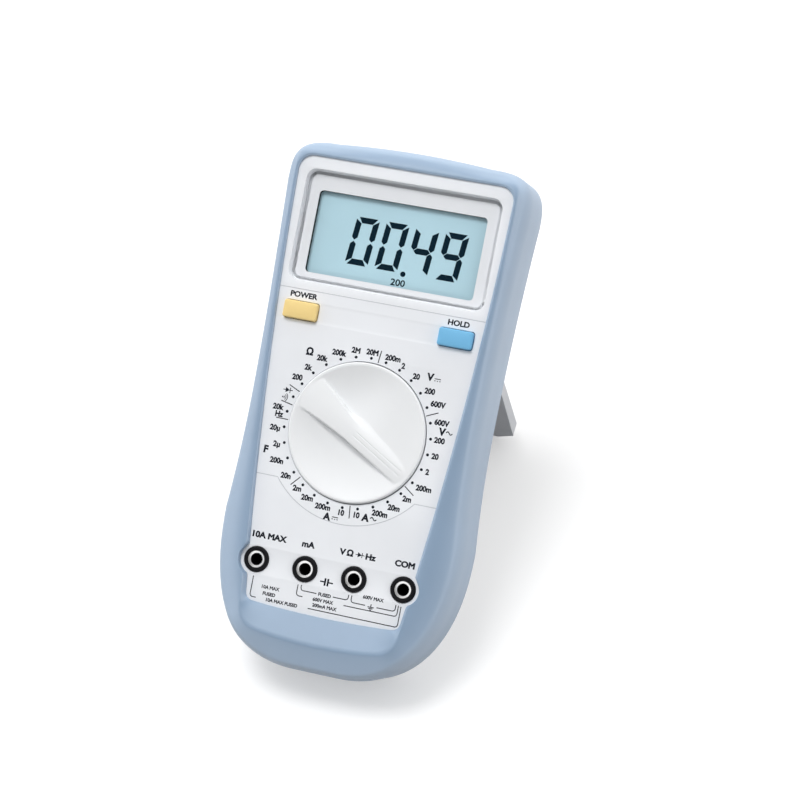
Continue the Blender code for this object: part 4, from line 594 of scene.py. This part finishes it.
LENS = bpy.data.materials.new("lens_acrylic")
LENS.use_nodes = True
lens_shader = LENS.node_tree.nodes["Principled BSDF"]
lens_shader.inputs["Base Color"].default_value = (0.3, 0.45, 0.5, 1.0)
lens_shader.inputs["Roughness"].default_value = 0.06
lens_shader.inputs["IOR"].default_value = 1.49
film = LENS.node_tree.nodes.new("ShaderNodeTexNoise")
film.inputs["Scale"].default_value = 40.0
clarity = LENS.node_tree.nodes.new("ShaderNodeMapRange")
clarity.inputs["To Min"].default_value = 0.005
clarity.inputs["To Max"].default_value = 0.012
LENS.node_tree.links.new(film.outputs["Fac"], clarity.inputs["Value"])
LENS.node_tree.links.new(clarity.outputs["Result"], lens_shader.inputs["Alpha"])
lens_plate = plate([lens_outline], -POCKET_DEEP - LENS_THICK, -POCKET_DEEP, LENS_EDGE)
on_face("display_lens", lens_plate, LENS, "root", "clear_acrylic", "display_lens")

BORDER = moulded("border_ink", (0.86, 0.875, 0.905), 0.45, grain=5000.0, relief=0.004, mottle=0.02)
border_back = LENS_BACK - BORDER_THICK
border = plate([lens_outline, view_outline], border_back, LENS_BACK)
on_face("display_border", border, BORDER, "root", "case_plastic")
# Near-black rubber for the contact strips and for the gasket, whose inner wall paints the shade at the
# window's edge.
DARK_RUBBER_AND_SHADE = moulded("dark_rubber_and_shade", (0.012, 0.016, 0.02), 0.6, specular=0.2)
glass_low, glass_high = GLASS_MIDDLE - GLASS_TALL / 2, GLASS_MIDDLE + GLASS_TALL / 2
glass_outline = oblong(GLASS_HALF, glass_low, glass_high, VIEW_CORNER)
# The gasket round the glass: its near-black inner wall is painted shade at the edge of the window.
window_shade = plate([glass_outline, view_outline], GLASS_FRONT, border_back)
on_face("display_window_shade", window_shade, DARK_RUBBER_AND_SHADE, "root", "elastomer")
GLASS = moulded("liquid_crystal", (0.52, 0.76, 0.86), 0.3, grain=9000.0, relief=0.002, mottle=0.03)
crystal = plate([glass_outline], GLASS_BACK, GLASS_FRONT - GLASS_SINK, GLASS_EDGE)
on_face("display_glass", crystal, GLASS, "root", "display_glass", "display_glass")

DIGIT_HIGH, DIGIT_WIDE, BAR_WIDE, BAR_GAP = 18.0 * MM, 8.9 * MM, 2.2 * MM, 0.16 * MM
DIGIT_LOW, DIGIT_PITCH, DIGIT_START, DIGIT_SLANT = 61.2 * MM, 11.55 * MM, -17.8 * MM, 0.09
POINT_RADIUS, POINT_AT = 1.0 * MM, (4.3 * MM, 60.9 * MM)
RANGE_AT, RANGE_TALL = (3.0 * MM, 57.5 * MM), 2.5 * MM
RANGE_WEIGHT, RANGE_STRETCH = BOLD * 0.4, 1.1
SHOWN, RANGE_SHOWN = "0049", "200"
BARS = {"0": "abcdef", "4": "bcfg", "9": "abcdfg"}
SEGMENT = moulded("segment_dark", (0.001, 0.012, 0.024), 0.6, grain=6000.0, relief=0.002, specular=0.0)


def bar_shapes():
    """The seven bars of one digit: mitred against each other, with the outer corners cut."""
    w, h, t, g, c = DIGIT_WIDE, DIGIT_HIGH, BAR_WIDE, BAR_GAP, BAR_WIDE * 0.3
    m = h / 2
    top = [(c + g, h), (w - c - g, h), (w - t - g, h - t), (t + g, h - t)]
    left = [(0.0, h - c - g), (t, h - t - g), (t, m + t / 2 + g), (t / 2, m + g * 1.5),
            (0.0, m + t / 2 + g)]
    middle = [(t / 2 + g, m), (t + g, m + t / 2), (w - t - g, m + t / 2), (w - t / 2 - g, m),
              (w - t - g, m - t / 2), (t + g, m - t / 2)]

    def across(shape):
        return [(w - x, y) for x, y in shape]

    def under(shape):
        return [(x, h - y) for x, y in shape]

    return {"a": top, "b": across(left), "c": under(across(left)), "d": under(top),
            "e": under(left), "f": left, "g": middle}


def segment(outline):
    """A dark area on the glass."""
    return plate([outline], GLASS_FRONT - GLASS_SINK, GLASS_FRONT + INK_THICK)


def slanted(shape, x):
    """A bar of a digit at its place, with the digits' slant."""
    return [Vector((x + px + (py - DIGIT_HIGH / 2) * DIGIT_SLANT, DIGIT_LOW + py)) for px, py in shape]


digits = []
for i, figure in enumerate(SHOWN):
    digits += [segment(slanted(bar_shapes()[bar], DIGIT_START + DIGIT_PITCH * i)) for bar in BARS[figure]]
digits.append(segment(ring(POINT_RADIUS, POINT_AT, 24)))
range_word = words(RANGE_SHOWN, *RANGE_AT, RANGE_TALL, RANGE_WEIGHT, RANGE_STRETCH)
range_word.transform(Matrix.Translation((0.0, 0.0, GLASS_FRONT)))
on_face("display_digits", merged(digits + [range_word]), SEGMENT, "root", "display_glass")


def finished(material, *names):
    """Gives carried-over CAD nodes their finish."""
    for name in names:
        mesh = frame["nodes"][name].data
        mesh.materials.clear()
        mesh.materials.append(material)


finished(CASE, "display_frame")
finished(DARK_RUBBER_AND_SHADE, "contact_strip_top", "contact_strip_low")


# Range dial
# One moulded knob: a thin bevelled rim, two scoops for finger and thumb, and between them a bar that
# narrows to a grooved pointer, where its far scoop runs out. Under the panel it drives the rotor with its
# contacts and detents. Shares along the bar run from -1 at its narrow end to 1 at its wide end.
KNOB_RADIUS, KNOB_RISE, KNOB_FOOT = 26.1 * MM, 1.3 * MM, -3.9 * MM
KNOB_RIM, KNOB_RIM_EASE, KNOB_BEVEL, KNOB_DISH = 1.2 * MM, 0.15 * MM, 0.5 * MM, 4.3 * MM
KNOB_STEPS, KNOB_RINGS = 360, 100
HUB_GAP = 0.4 * MM
BAR_ANGLE = 150.0
BAR_CROWN, BAR_CAMBER = 0.6 * MM, 0.3 * MM
NEAR_WIDE, NEAR_MIDDLE, NEAR_FLARE = 6.8 * MM, 4.3 * MM, 1.6
FAR_WIDE, FAR_MIDDLE = 7.1 * MM, 2.2 * MM
NEAR_WALL, FAR_WALL, SOFT_WALL = 0.9 * MM, 0.5 * MM, 6.5 * MM
SOFT_FROM, SOFT_OVER = 0.35, 0.6
FAR_FILL, FILL_FROM, FILL_OVER = 0.8, 0.6, 0.9
GROOVE_AT, GROOVE_HALF, GROOVE_LINE, GROOVE_DEEP = 0.6 * MM, 0.9 * MM, 0.3 * MM, 0.16 * MM
GROOVE_FROM, GROOVE_FADE, GROOVE_TO, GROOVE_STOP = 0.05, 0.1, -0.93, 0.03
KNOB = moulded("knob_plastic", (0.90, 0.915, 0.93), 0.38, grain=3000.0, mottle=0.02)


def eased(share):
    """A share from 0 to 1 with soft ends."""
    share = min(max(share, 0.0), 1.0)
    return share * share * (3 - 2 * share)


def knob_height(s, w):
    """The knob's top: s runs along the bar towards its wide end, w across it towards its steep side."""
    reach = KNOB_RADIUS - KNOB_RIM
    r = math.hypot(s, w)
    along = s / reach
    scoop = 1.0 if w > 0 else 1 - FAR_FILL * eased((FILL_FROM - along) / FILL_OVER)
    dish = KNOB_RISE - KNOB_DISH * scoop * (1 - min(r / reach, 1.0) ** 2)
    if w > 0:
        half = NEAR_MIDDLE + (NEAR_WIDE - NEAR_MIDDLE) * max(along, 0.0) ** NEAR_FLARE
        wall = min(max((half + NEAR_WALL - w) / NEAR_WALL, 0.0), 1.0)
    else:
        half = FAR_MIDDLE + (FAR_WIDE - FAR_MIDDLE) * max(along, 0.0)
        side = FAR_WALL + (SOFT_WALL - FAR_WALL) * eased((SOFT_FROM - along) / SOFT_OVER)
        wall = eased((half + side + w) / side)
    crown = KNOB_RISE + BAR_CROWN * (1 - along ** 2) - BAR_CAMBER * (w / half) ** 2
    cut = GROOVE_DEEP * eased((GROOVE_FROM - along) / GROOVE_FADE)
    cut *= eased((along - GROOVE_TO) / GROOVE_STOP)
    for edge in (-GROOVE_HALF, GROOVE_HALF):
        crown -= cut * max(1 - abs(w - GROOVE_AT - edge) / GROOVE_LINE, 0.0)
    return dish + (max(crown, dish) - dish) * wall


def build_knob():
    """Even rings of points over the top, from a speck at the centre, then rim, side, foot and hub."""
    reach, hub = KNOB_RADIUS - KNOB_RIM, HUB_HOLE - HUB_GAP
    rings = []
    for i in range(KNOB_RINGS):
        circle = ring(reach * (i + 0.001) / (KNOB_RINGS - 1), steps=KNOB_STEPS)
        rings.append([(s, w, knob_height(s, w)) for s, w in circle])
    for radius, z in ((reach + KNOB_RIM_EASE, KNOB_RISE), (KNOB_RADIUS - KNOB_BEVEL, KNOB_RISE),
                      (KNOB_RADIUS, KNOB_RISE - KNOB_BEVEL), (KNOB_RADIUS, KNOB_FOOT),
                      (hub, KNOB_FOOT), (hub, WELL_BACK)):
        rings.append([(s, w, z) for s, w in ring(radius, steps=KNOB_STEPS)])
    return loft(rings, closed=False, crease=28.0)


knob_mesh = build_knob()
knob_mesh.transform(Matrix.Rotation(math.radians(BAR_ANGLE), 4, "Z"))
on_face("range_knob", knob_mesh, KNOB, "dial", "case_plastic", "range_knob")

BLACK = moulded("black_plastic", (0.013, 0.013, 0.015), 0.32, grain=3500.0, mottle=0.2)
BRONZE = moulded("spring_bronze", (0.72, 0.45, 0.20), 0.28, grain=1500.0, relief=0.004, mottle=0.15,
                 metallic=1.0)
STEEL = moulded("bright_steel", (0.60, 0.60, 0.61), 0.28, grain=1800.0, relief=0.004, mottle=0.12,
                metallic=1.0)
finished(BLACK, "switch_rotor")
finished(BRONZE, "wiper_contact_1", "wiper_contact_2", "wiper_contact_3")
finished(STEEL, "detent_ball_1", "detent_ball_2", "detent_spring_1", "detent_spring_2", "knob_screw")


# Keys
# Two push caps moulded in coloured plastic, with rounded edges and a soft crown. Each slides in its hole
# in the panel and presses the plunger of a switch on the board.
KEY_RISE, KEY_FOOT, KEY_CROWN, KEY_EDGE = 2.2 * MM, -3.3 * MM, 0.18 * MM, 0.55 * MM
KEY_TOP, KEY_LEAST_CORNER = ((1.0 * MM, 0.35), (2.2 * MM, 0.0)), 0.3 * MM
YELLOW = moulded("key_yellow", (0.97, 0.73, 0.30), 0.36, grain=3000.0, mottle=0.03)
BLUE = moulded("key_blue", (0.19, 0.52, 0.82), 0.36, grain=3000.0, mottle=0.04)


def key_cap(x):
    """Rings of a rounded oblong, from the foot up the sides, over the edge and in to the crown."""
    brim = KEY_RISE - KEY_CROWN
    levels = [(0.0, KEY_FOOT), (0.0, brim - KEY_EDGE)]
    for degrees in (22.5, 45.0, 67.5, 90.0):
        turn = math.radians(degrees)
        levels.append((KEY_EDGE * (1 - math.cos(turn)), brim - KEY_EDGE * (1 - math.sin(turn))))
    levels += [(KEY_EDGE + inward, KEY_RISE - KEY_CROWN * drop) for inward, drop in KEY_TOP]
    rings = []
    for shrink, z in levels:
        corner = max(KEY_CORNER - shrink * 0.5, KEY_LEAST_CORNER)
        outline = oblong(KEY_WIDE / 2 - shrink, key_low + shrink, key_high - shrink, corner, x)
        rings.append([(px, py, z) for px, py in outline])
    return loft(rings, closed=False, crease=40.0)


on_face("power_button", key_cap(-KEY_X), YELLOW, "power_key", "button_yellow", "power_button")
on_face("hold_button", key_cap(KEY_X), BLUE, "hold_key", "button_blue", "hold_button")
finished(CASE, "power_plunger", "hold_plunger")
finished(BLACK, "power_switch", "hold_switch")


# Sockets
# Four plated brass sleeves for 4 mm plugs, each in a round black insulating collar that stands a little
# proud of the panel. A black tube inside each sleeve paints the shade down its bore.
COLLAR_RISE, COLLAR_FOOT, COLLAR_BORE = 0.8 * MM, -3.7 * MM, 3.3 * MM
SLEEVE_RADIUS, SLEEVE_BORE, SLEEVE_TOP, SLEEVE_END = 3.2 * MM, 2.3 * MM, 0.5 * MM, -22.0 * MM
SLEEVE_SINK, SLEEVE_LIP = 0.45 * MM, 0.12 * MM
# A black tube inside each sleeve's bore, painting the shade down the hole.
BORE_SHADE_RADIUS, BORE_SHADE_TOP = 2.1 * MM, -0.2 * MM
SLEEVE_FLOOR = 1.2 * MM
COLLAR_INNER, COLLAR_SHOULDER = COLLAR_RISE * 0.3, 0.45
# Black for the collars, and for the tube that paints the shade down each bore.
COLLAR_AND_BORE_SHADE = moulded("collar_black_and_bore_shade", (0.006, 0.006, 0.008), 0.4, grain=3500.0, mottle=0.2, specular=0.2)
NICKEL = moulded("nickel_plate", (0.93, 0.93, 0.93), 0.28, grain=1400.0, relief=0.003, mottle=0.08,
                 metallic=1.0)
middle, half = (COLLAR_BORE + COLLAR_RADIUS) / 2, (COLLAR_RADIUS - COLLAR_BORE) / 2
collar_profile = [(COLLAR_BORE, COLLAR_FOOT), (COLLAR_BORE, COLLAR_INNER)]
for i in range(9):
    turn = math.pi * i / 8
    crown = COLLAR_SHOULDER + (1 - COLLAR_SHOULDER) * math.sin(turn)
    collar_profile.append((middle - half * math.cos(turn), COLLAR_RISE * crown))
collar_profile += [(COLLAR_RADIUS, COLLAR_FOOT)]
sleeve_floor, funnel = SLEEVE_END + SLEEVE_FLOOR, SLEEVE_TOP - SLEEVE_SINK
sleeve_profile = [(0.0, SLEEVE_END), (0.0, sleeve_floor), (SLEEVE_BORE, sleeve_floor),
                  (SLEEVE_BORE, funnel), (SLEEVE_BORE + SLEEVE_LIP, funnel + SLEEVE_LIP),
                  (SLEEVE_RADIUS - SLEEVE_LIP, SLEEVE_TOP),
                  (SLEEVE_RADIUS - SLEEVE_LIP * 0.4, SLEEVE_TOP - SLEEVE_LIP * 0.3),
                  (SLEEVE_RADIUS, SLEEVE_TOP - SLEEVE_LIP), (SLEEVE_RADIUS, SLEEVE_END)]
bore_shade_floor = SLEEVE_END + 2 * SLEEVE_FLOOR
bore_shade_profile = [(BORE_SHADE_RADIUS, BORE_SHADE_TOP), (BORE_SHADE_RADIUS, bore_shade_floor), (0.0, bore_shade_floor),
                  (0.0, sleeve_floor), (SLEEVE_BORE, sleeve_floor), (SLEEVE_BORE, BORE_SHADE_TOP)]
for name, (x, y) in zip(("ten_amp", "milliamp", "volt_ohm", "common"), socket_places):
    spot = Matrix.Translation((x, y, 0.0))
    collar = turned(collar_profile, 64)
    collar.transform(spot)
    on_face(name + "_collar", collar, COLLAR_AND_BORE_SHADE, "root", "black_plastic", name + "_collar")
    sleeve = turned(sleeve_profile, 64)
    sleeve.transform(spot)
    on_face(name + "_socket", sleeve, NICKEL, "root", "nickel_plate", name + "_socket")
    # The bore's painted shade: a black tube inside the sleeve.
    bore_shade = turned(bore_shade_profile, 64)
    bore_shade.transform(spot)
    on_face(name + "_bore_shade", bore_shade, COLLAR_AND_BORE_SHADE, "root", "black_plastic")


# Circuit board
# A glass-fibre board with a green mask behind the panel, and the larger parts soldered to its back:
# fuses in spring clips, the converter chip, a buzzer, two capacitors and the heavy current shunt.
BOARD = moulded("board_mask", (0.02, 0.15, 0.06), 0.38, grain=1200.0, relief=0.01, mottle=0.3)
CERAMIC = moulded("fuse_ceramic", (0.82, 0.80, 0.75), 0.35, grain=2500.0, mottle=0.08)
finished(BOARD, "circuit_board")
finished(CERAMIC, "ten_amp_fuse", "milliamp_fuse")
finished(BRONZE, "ten_amp_fuse_clip_1", "ten_amp_fuse_clip_2", "milliamp_fuse_clip_1",
         "milliamp_fuse_clip_2", "current_shunt")
finished(BLACK, "converter_chip", "buzzer", "capacitor_1", "capacitor_2")


# Battery
# A 9 V block battery in a plain wrapped metal can, which lies in the bay of the back case. A snap on its
# end and two insulated leads join it to the board.
JACKET = moulded("battery_jacket", (0.09, 0.09, 0.10), 0.3, grain=900.0, mottle=0.2)
RED = moulded("lead_red", (0.55, 0.03, 0.03), 0.42, grain=3000.0, mottle=0.1)
finished(JACKET, "battery")
finished(BLACK, "battery_snap", "battery_lead_black")
finished(RED, "battery_lead_red")


# Back case and cover
# The lower housing, with a recess for the folded stand, holes for its pins and a battery bay closed by a
# screwed cover. Self-tapping screws from the back hold it to the front case.
EDGE_ROUND = 0.25 * MM
FLAT, CORNER = math.radians(1.0), math.radians(40.0)


def softened(node, material, body, slot, round_off, crease=35.0):
    """A piece drawn from a node's own solid: flat faces merged, then its edges rounded off."""
    shape = bmesh.new()
    shape.from_mesh(frame["nodes"][node].data)
    bmesh.ops.remove_doubles(shape, verts=shape.verts, dist=WELD)
    bmesh.ops.dissolve_limit(shape, angle_limit=FLAT, verts=shape.verts, edges=shape.edges)
    bmesh.ops.transform(shape, matrix=FACE.inverted(), verts=shape.verts)
    shape.verts.index_update()
    mesh = bpy.data.meshes.new(node)
    mesh.from_pydata([vertex.co[:] for vertex in shape.verts], [],
                     [[vertex.index for vertex in face.verts] for face in shape.faces])
    shape.free()
    mesh.shade_smooth()
    mesh.set_sharp_from_angle(angle=math.radians(crease))
    piece = on_face(node, mesh, material, body, slot, node)
    bevel = piece.modifiers.new("edges", "BEVEL")
    bevel.width = round_off
    bevel.segments = 2
    bevel.limit_method = "ANGLE"
    bevel.angle_limit = CORNER
    bevel.harden_normals = True
    return piece


BACK = moulded("back_plastic", (0.76, 0.775, 0.81), 0.5, grain=1800.0, relief=0.02, mottle=0.04)
softened("back_case", BACK, "root", "case_plastic", EDGE_ROUND)
softened("battery_cover", BACK, "root", "case_plastic", EDGE_ROUND)
finished(STEEL, "battery_cover_screw", *(f"case_screw_{i}" for i in range(1, 5)))


# Tilt stand
# A moulded tray with deeper sides towards its foot. It swings on two stub pins in the back case and
# folds flat into its recess.
STAND_ROUND = 0.4 * MM
softened("tilt_stand", BACK, "stand", "case_plastic", STAND_ROUND)


# Boot
# A soft elastomer shell stretched over the whole meter: a rounded lip round the face, a thick chin, a
# bowed bezel that falls away to the sides, and a flat rim behind.
CREST_TOP, CREST_LOW, CREST_POWER = 1.1 * MM, 4.0 * MM, 4
SETBACK_TOP, SETBACK_LOW = 0.8 * MM, 1.2 * MM
SCALLOP_EDGE = 0.5 * MM
CHIN_LOW, CHIN_CORNER, CHIN_SAG = -80.0 * MM, 8.0 * MM, 2.6 * MM
LIP_FROM, LIP_EDGE = 0.08 * MM, 0.55 * MM
BEZEL_FALL, BEZEL_BOW, CHIN_BOW = 0.42, 1.6, 1.15
EDGE_WIDE, EDGE_DROP = 3.0 * MM, 10.0 * MM
LIP_THICK = 1.7 * MM
REAR_CHAMFER, REAR_RIM, BOOT_WALL = 4.0 * MM, 10.5 * MM, 4.5 * MM
REAR_EASE = 0.9 * MM
BOOT_DEPTH, CASE_BACK = 33.0 * MM, -30.9 * MM
LIP_SHARES = (0.12, 0.25, 0.4, 0.55, 0.7, 0.85, 1.0)
BEZEL_STEPS, EDGE_STEPS = 10, 8
RUBBER = moulded("boot_rubber", (0.262, 0.385, 0.545), 0.36, grain=1700.0, relief=0.015, mottle=0.04,
                 spread=0.1, specular=1.0, index=1.8)


def inset(outline, distance):
    """A clockwise outline moved inwards."""
    moved = []
    for i, point in enumerate(outline):
        along = (outline[(i + 1) % len(outline)] - outline[i - 1]).normalized()
        moved.append(point + Vector((along.y, -along.x)) * distance)
    return moved


crest_loop = window_path(SETBACK_TOP, SETBACK_LOW, CHIN_LOW, CHIN_CORNER, CHIN_SAG)
shoulders = inset(OUTLINE, EDGE_WIDE)
chamfered, rimmed, walled = (inset(OUTLINE, by) for by in (REAR_CHAMFER, REAR_RIM, BOOT_WALL))
heel = -BOOT_DEPTH + REAR_CHAMFER * math.tan(LEAN)


def eased_corner(before, corner, after, reach):
    """Three points that round a corner of a section."""
    before, corner, after = Vector(before), Vector(corner), Vector(after)
    first = corner + (before - corner).normalized() * reach
    last = corner + (after - corner).normalized() * reach
    return [first, first * 0.25 + corner * 0.5 + last * 0.25, last]


sections = []
for i, (start, point, window) in enumerate(zip(SPINE, OUTLINE, WINDOW)):
    ridge = start + (point - start) * way_out(crest_loop, start, point)
    outward = (point - start).normalized()
    share = (BOOT_TOP - ridge.y) / (BOOT_TOP - BOOT_BOTTOM)
    crest = CREST_TOP + (CREST_LOW - CREST_TOP) * share ** CREST_POWER
    chin = eased(-outward.y)
    shoulder = shoulders[i]
    bezel = (shoulder - ridge).length
    edge = crest - BEZEL_FALL * bezel
    bow = BEZEL_BOW + (CHIN_BOW - BEZEL_BOW) * chin
    cut = max((window - ridge).dot(outward) + SCALLOP_EDGE, 0.0)
    crest_at = ridge + outward * cut
    rise_to = crest - (crest - edge) * (cut / bezel) ** bow
    section = [(*window, LIP_FROM), (*window, LIP_EDGE)]
    for step in LIP_SHARES:
        rise = step * (1 + (1 - chin) * (1 - step))
        section.append((*window.lerp(crest_at, step), LIP_EDGE + (rise_to - LIP_EDGE) * rise))
    for k in range(1, BEZEL_STEPS + 1):
        at = crest_at.lerp(shoulder, k / BEZEL_STEPS)
        section.append((*at, crest - (crest - edge) * ((at - ridge).length / bezel) ** bow))
    slope = BEZEL_FALL * bow * EDGE_WIDE / EDGE_DROP
    first = math.asin(slope / (1 - slope))
    for k in range(1, EDGE_STEPS + 1):
        turn = first + (math.pi / 2 - first) * k / EDGE_STEPS
        across = (math.sin(turn) - math.sin(first)) / (1 - math.sin(first))
        drop = EDGE_DROP * (1 - math.cos(turn) / math.cos(first))
        section.append((*shoulder.lerp(point, across), edge - drop))
    side, rear, rim = (*point, heel), (*chamfered[i], -BOOT_DEPTH), (*rimmed[i], -BOOT_DEPTH)
    section.append((*point, (section[-1][2] + heel) / 2))
    section += eased_corner(section[-1], side, rear, REAR_EASE)
    section += eased_corner(side, rear, rim, REAR_EASE)
    section += eased_corner(rear, rim, (*rimmed[i], CASE_BACK), REAR_EASE * 0.6)
    section += [(*rimmed[i], CASE_BACK), (*walled[i], CASE_BACK), (*walled[i], edge - LIP_THICK)]
    section.append((*(window + outward * PANEL_SEAT), LIP_FROM))
    sections.append(section)
on_face("boot", loft(sections, crease=50.0), RUBBER, "root", "boot_rubber", "boot")


# Studio
# A white floor that keeps the object's soft shadow, two soft lamps from above the face, and a bright white
# surround with a dim opening in front of the face, so that the rubber's edges catch the light. The floor
# shows its full tone to the camera and in reflections, and throws less light back on the object.
FLOOR_SIZE = 6.0
FLOOR_TONE, FLOOR_BOUNCE, FLOOR_LIFT = 0.62, 0.18, 0.42
LAMPS = {"key_lamp": ((-0.2, 0.6, 0.77), 1.5, 24.0, False),
         "soft_lamp": ((-0.2, 0.5, 0.84), 0.5, 45.0, True)}
SURROUND_ROUND, SURROUND_AHEAD = 1.55, 0.25
OPENING, OPENING_EDGE, OPENING_CORE = Vector((0.0, 0.2, 0.98)), 0.3, 0.65


def larger(tree, first, second):
    """The larger of two outputs."""
    node = tree.nodes.new("ShaderNodeMath")
    node.operation = "MAXIMUM"
    tree.links.new(first, node.inputs[0])
    tree.links.new(second, node.inputs[1])
    return node.outputs["Value"]


def spread_to(tree, value, low, high):
    """A value from 0 to 1 carried over to a range of its own."""
    node = tree.nodes.new("ShaderNodeMapRange")
    node.inputs["To Min"].default_value = low
    node.inputs["To Max"].default_value = high
    tree.links.new(value, node.inputs["Value"])
    return node


paper = bpy.data.materials.new("floor_paper")
paper.use_nodes = True
tree = paper.node_tree
paper_shader = tree.nodes["Principled BSDF"]
paper_shader.inputs["Roughness"].default_value = 0.9
paper_shader.inputs["Specular IOR Level"].default_value = 0.0
paper_shader.inputs["Emission Color"].default_value = (1.0, 1.0, 1.0, 1.0)
ray = tree.nodes.new("ShaderNodeLightPath")
seen = larger(tree, ray.outputs["Is Camera Ray"], ray.outputs["Is Transmission Ray"])
seen = larger(tree, seen, ray.outputs["Is Glossy Ray"])
lift = spread_to(tree, seen, 0.0, FLOOR_LIFT)
tone = spread_to(tree, seen, FLOOR_BOUNCE, FLOOR_TONE)
tree.links.new(lift.outputs["Result"], paper_shader.inputs["Emission Strength"])
tree.links.new(tone.outputs["Result"], paper_shader.inputs["Base Color"])
floor_mesh = bpy.data.meshes.new("floor")
side = FLOOR_SIZE / 2
corners = [(-side, -side, 0.0), (side, -side, 0.0), (side, side, 0.0), (-side, side, 0.0)]
floor_mesh.from_pydata(corners, [], [(0, 1, 2, 3)])
floor_mesh.materials.append(paper)
floor = bpy.data.objects.new("floor", floor_mesh)
scene.collection.objects.link(floor)

for name, (towards, strength, spread, reflected) in LAMPS.items():
    lamp_data = bpy.data.lights.new(name, "SUN")
    lamp_data.energy = strength
    lamp_data.angle = math.radians(spread)
    lamp = bpy.data.objects.new(name, lamp_data)
    lamp.rotation_euler = (FACE.to_3x3() @ Vector(towards)).to_track_quat("Z", "Y").to_euler()
    lamp.visible_glossy = reflected
    scene.collection.objects.link(lamp)

world = bpy.data.worlds.new("surround")
scene.world = world
world.use_nodes = True
tree = world.node_tree
sky = tree.nodes["Background"]
sky.inputs["Color"].default_value = (1.0, 1.0, 1.0, 1.0)
around = tree.nodes.new("ShaderNodeTexCoord")
facing = tree.nodes.new("ShaderNodeVectorMath")
facing.operation = "DOT_PRODUCT"
facing.inputs[1].default_value = FACE.to_3x3() @ OPENING
tree.links.new(around.outputs["Generated"], facing.inputs[0])
level = spread_to(tree, facing.outputs["Value"], SURROUND_ROUND, SURROUND_AHEAD)
level.inputs["From Min"].default_value = OPENING_EDGE
level.inputs["From Max"].default_value = OPENING_CORE
ray = tree.nodes.new("ShaderNodeLightPath")
seen = larger(tree, ray.outputs["Is Camera Ray"], ray.outputs["Is Transmission Ray"])
tree.links.new(larger(tree, seen, level.outputs["Result"]), sky.inputs["Strength"])
scene.view_settings.view_transform = "Standard"


# Camera
# The photograph's viewpoint, solved on the face: a long lens, a little to the right of square on. Places
# and directions are given in the face's own axes.
EYE = Vector((238.6, 1.1, 889.5)) * MM
AIM = Vector((13.7, 14.9, 0.0)) * MM
UPRIGHT = Vector((-0.182, 0.981, 0.061))
LENS_LENGTH = 112.5
ahead = (AIM - EYE).normalized()
right = ahead.cross(UPRIGHT).normalized()
upward = right.cross(ahead)
camera_data = bpy.data.cameras.new("camera")
camera_data.lens = LENS_LENGTH
camera_data.sensor_width = 36.0
camera_data.clip_end = 20.0
camera = bpy.data.objects.new("camera", camera_data)
scene.collection.objects.link(camera)
turn = Matrix((right, upward, -ahead)).transposed().to_4x4()
camera.matrix_world = FACE @ Matrix.Translation(EYE) @ turn
scene.camera = camera
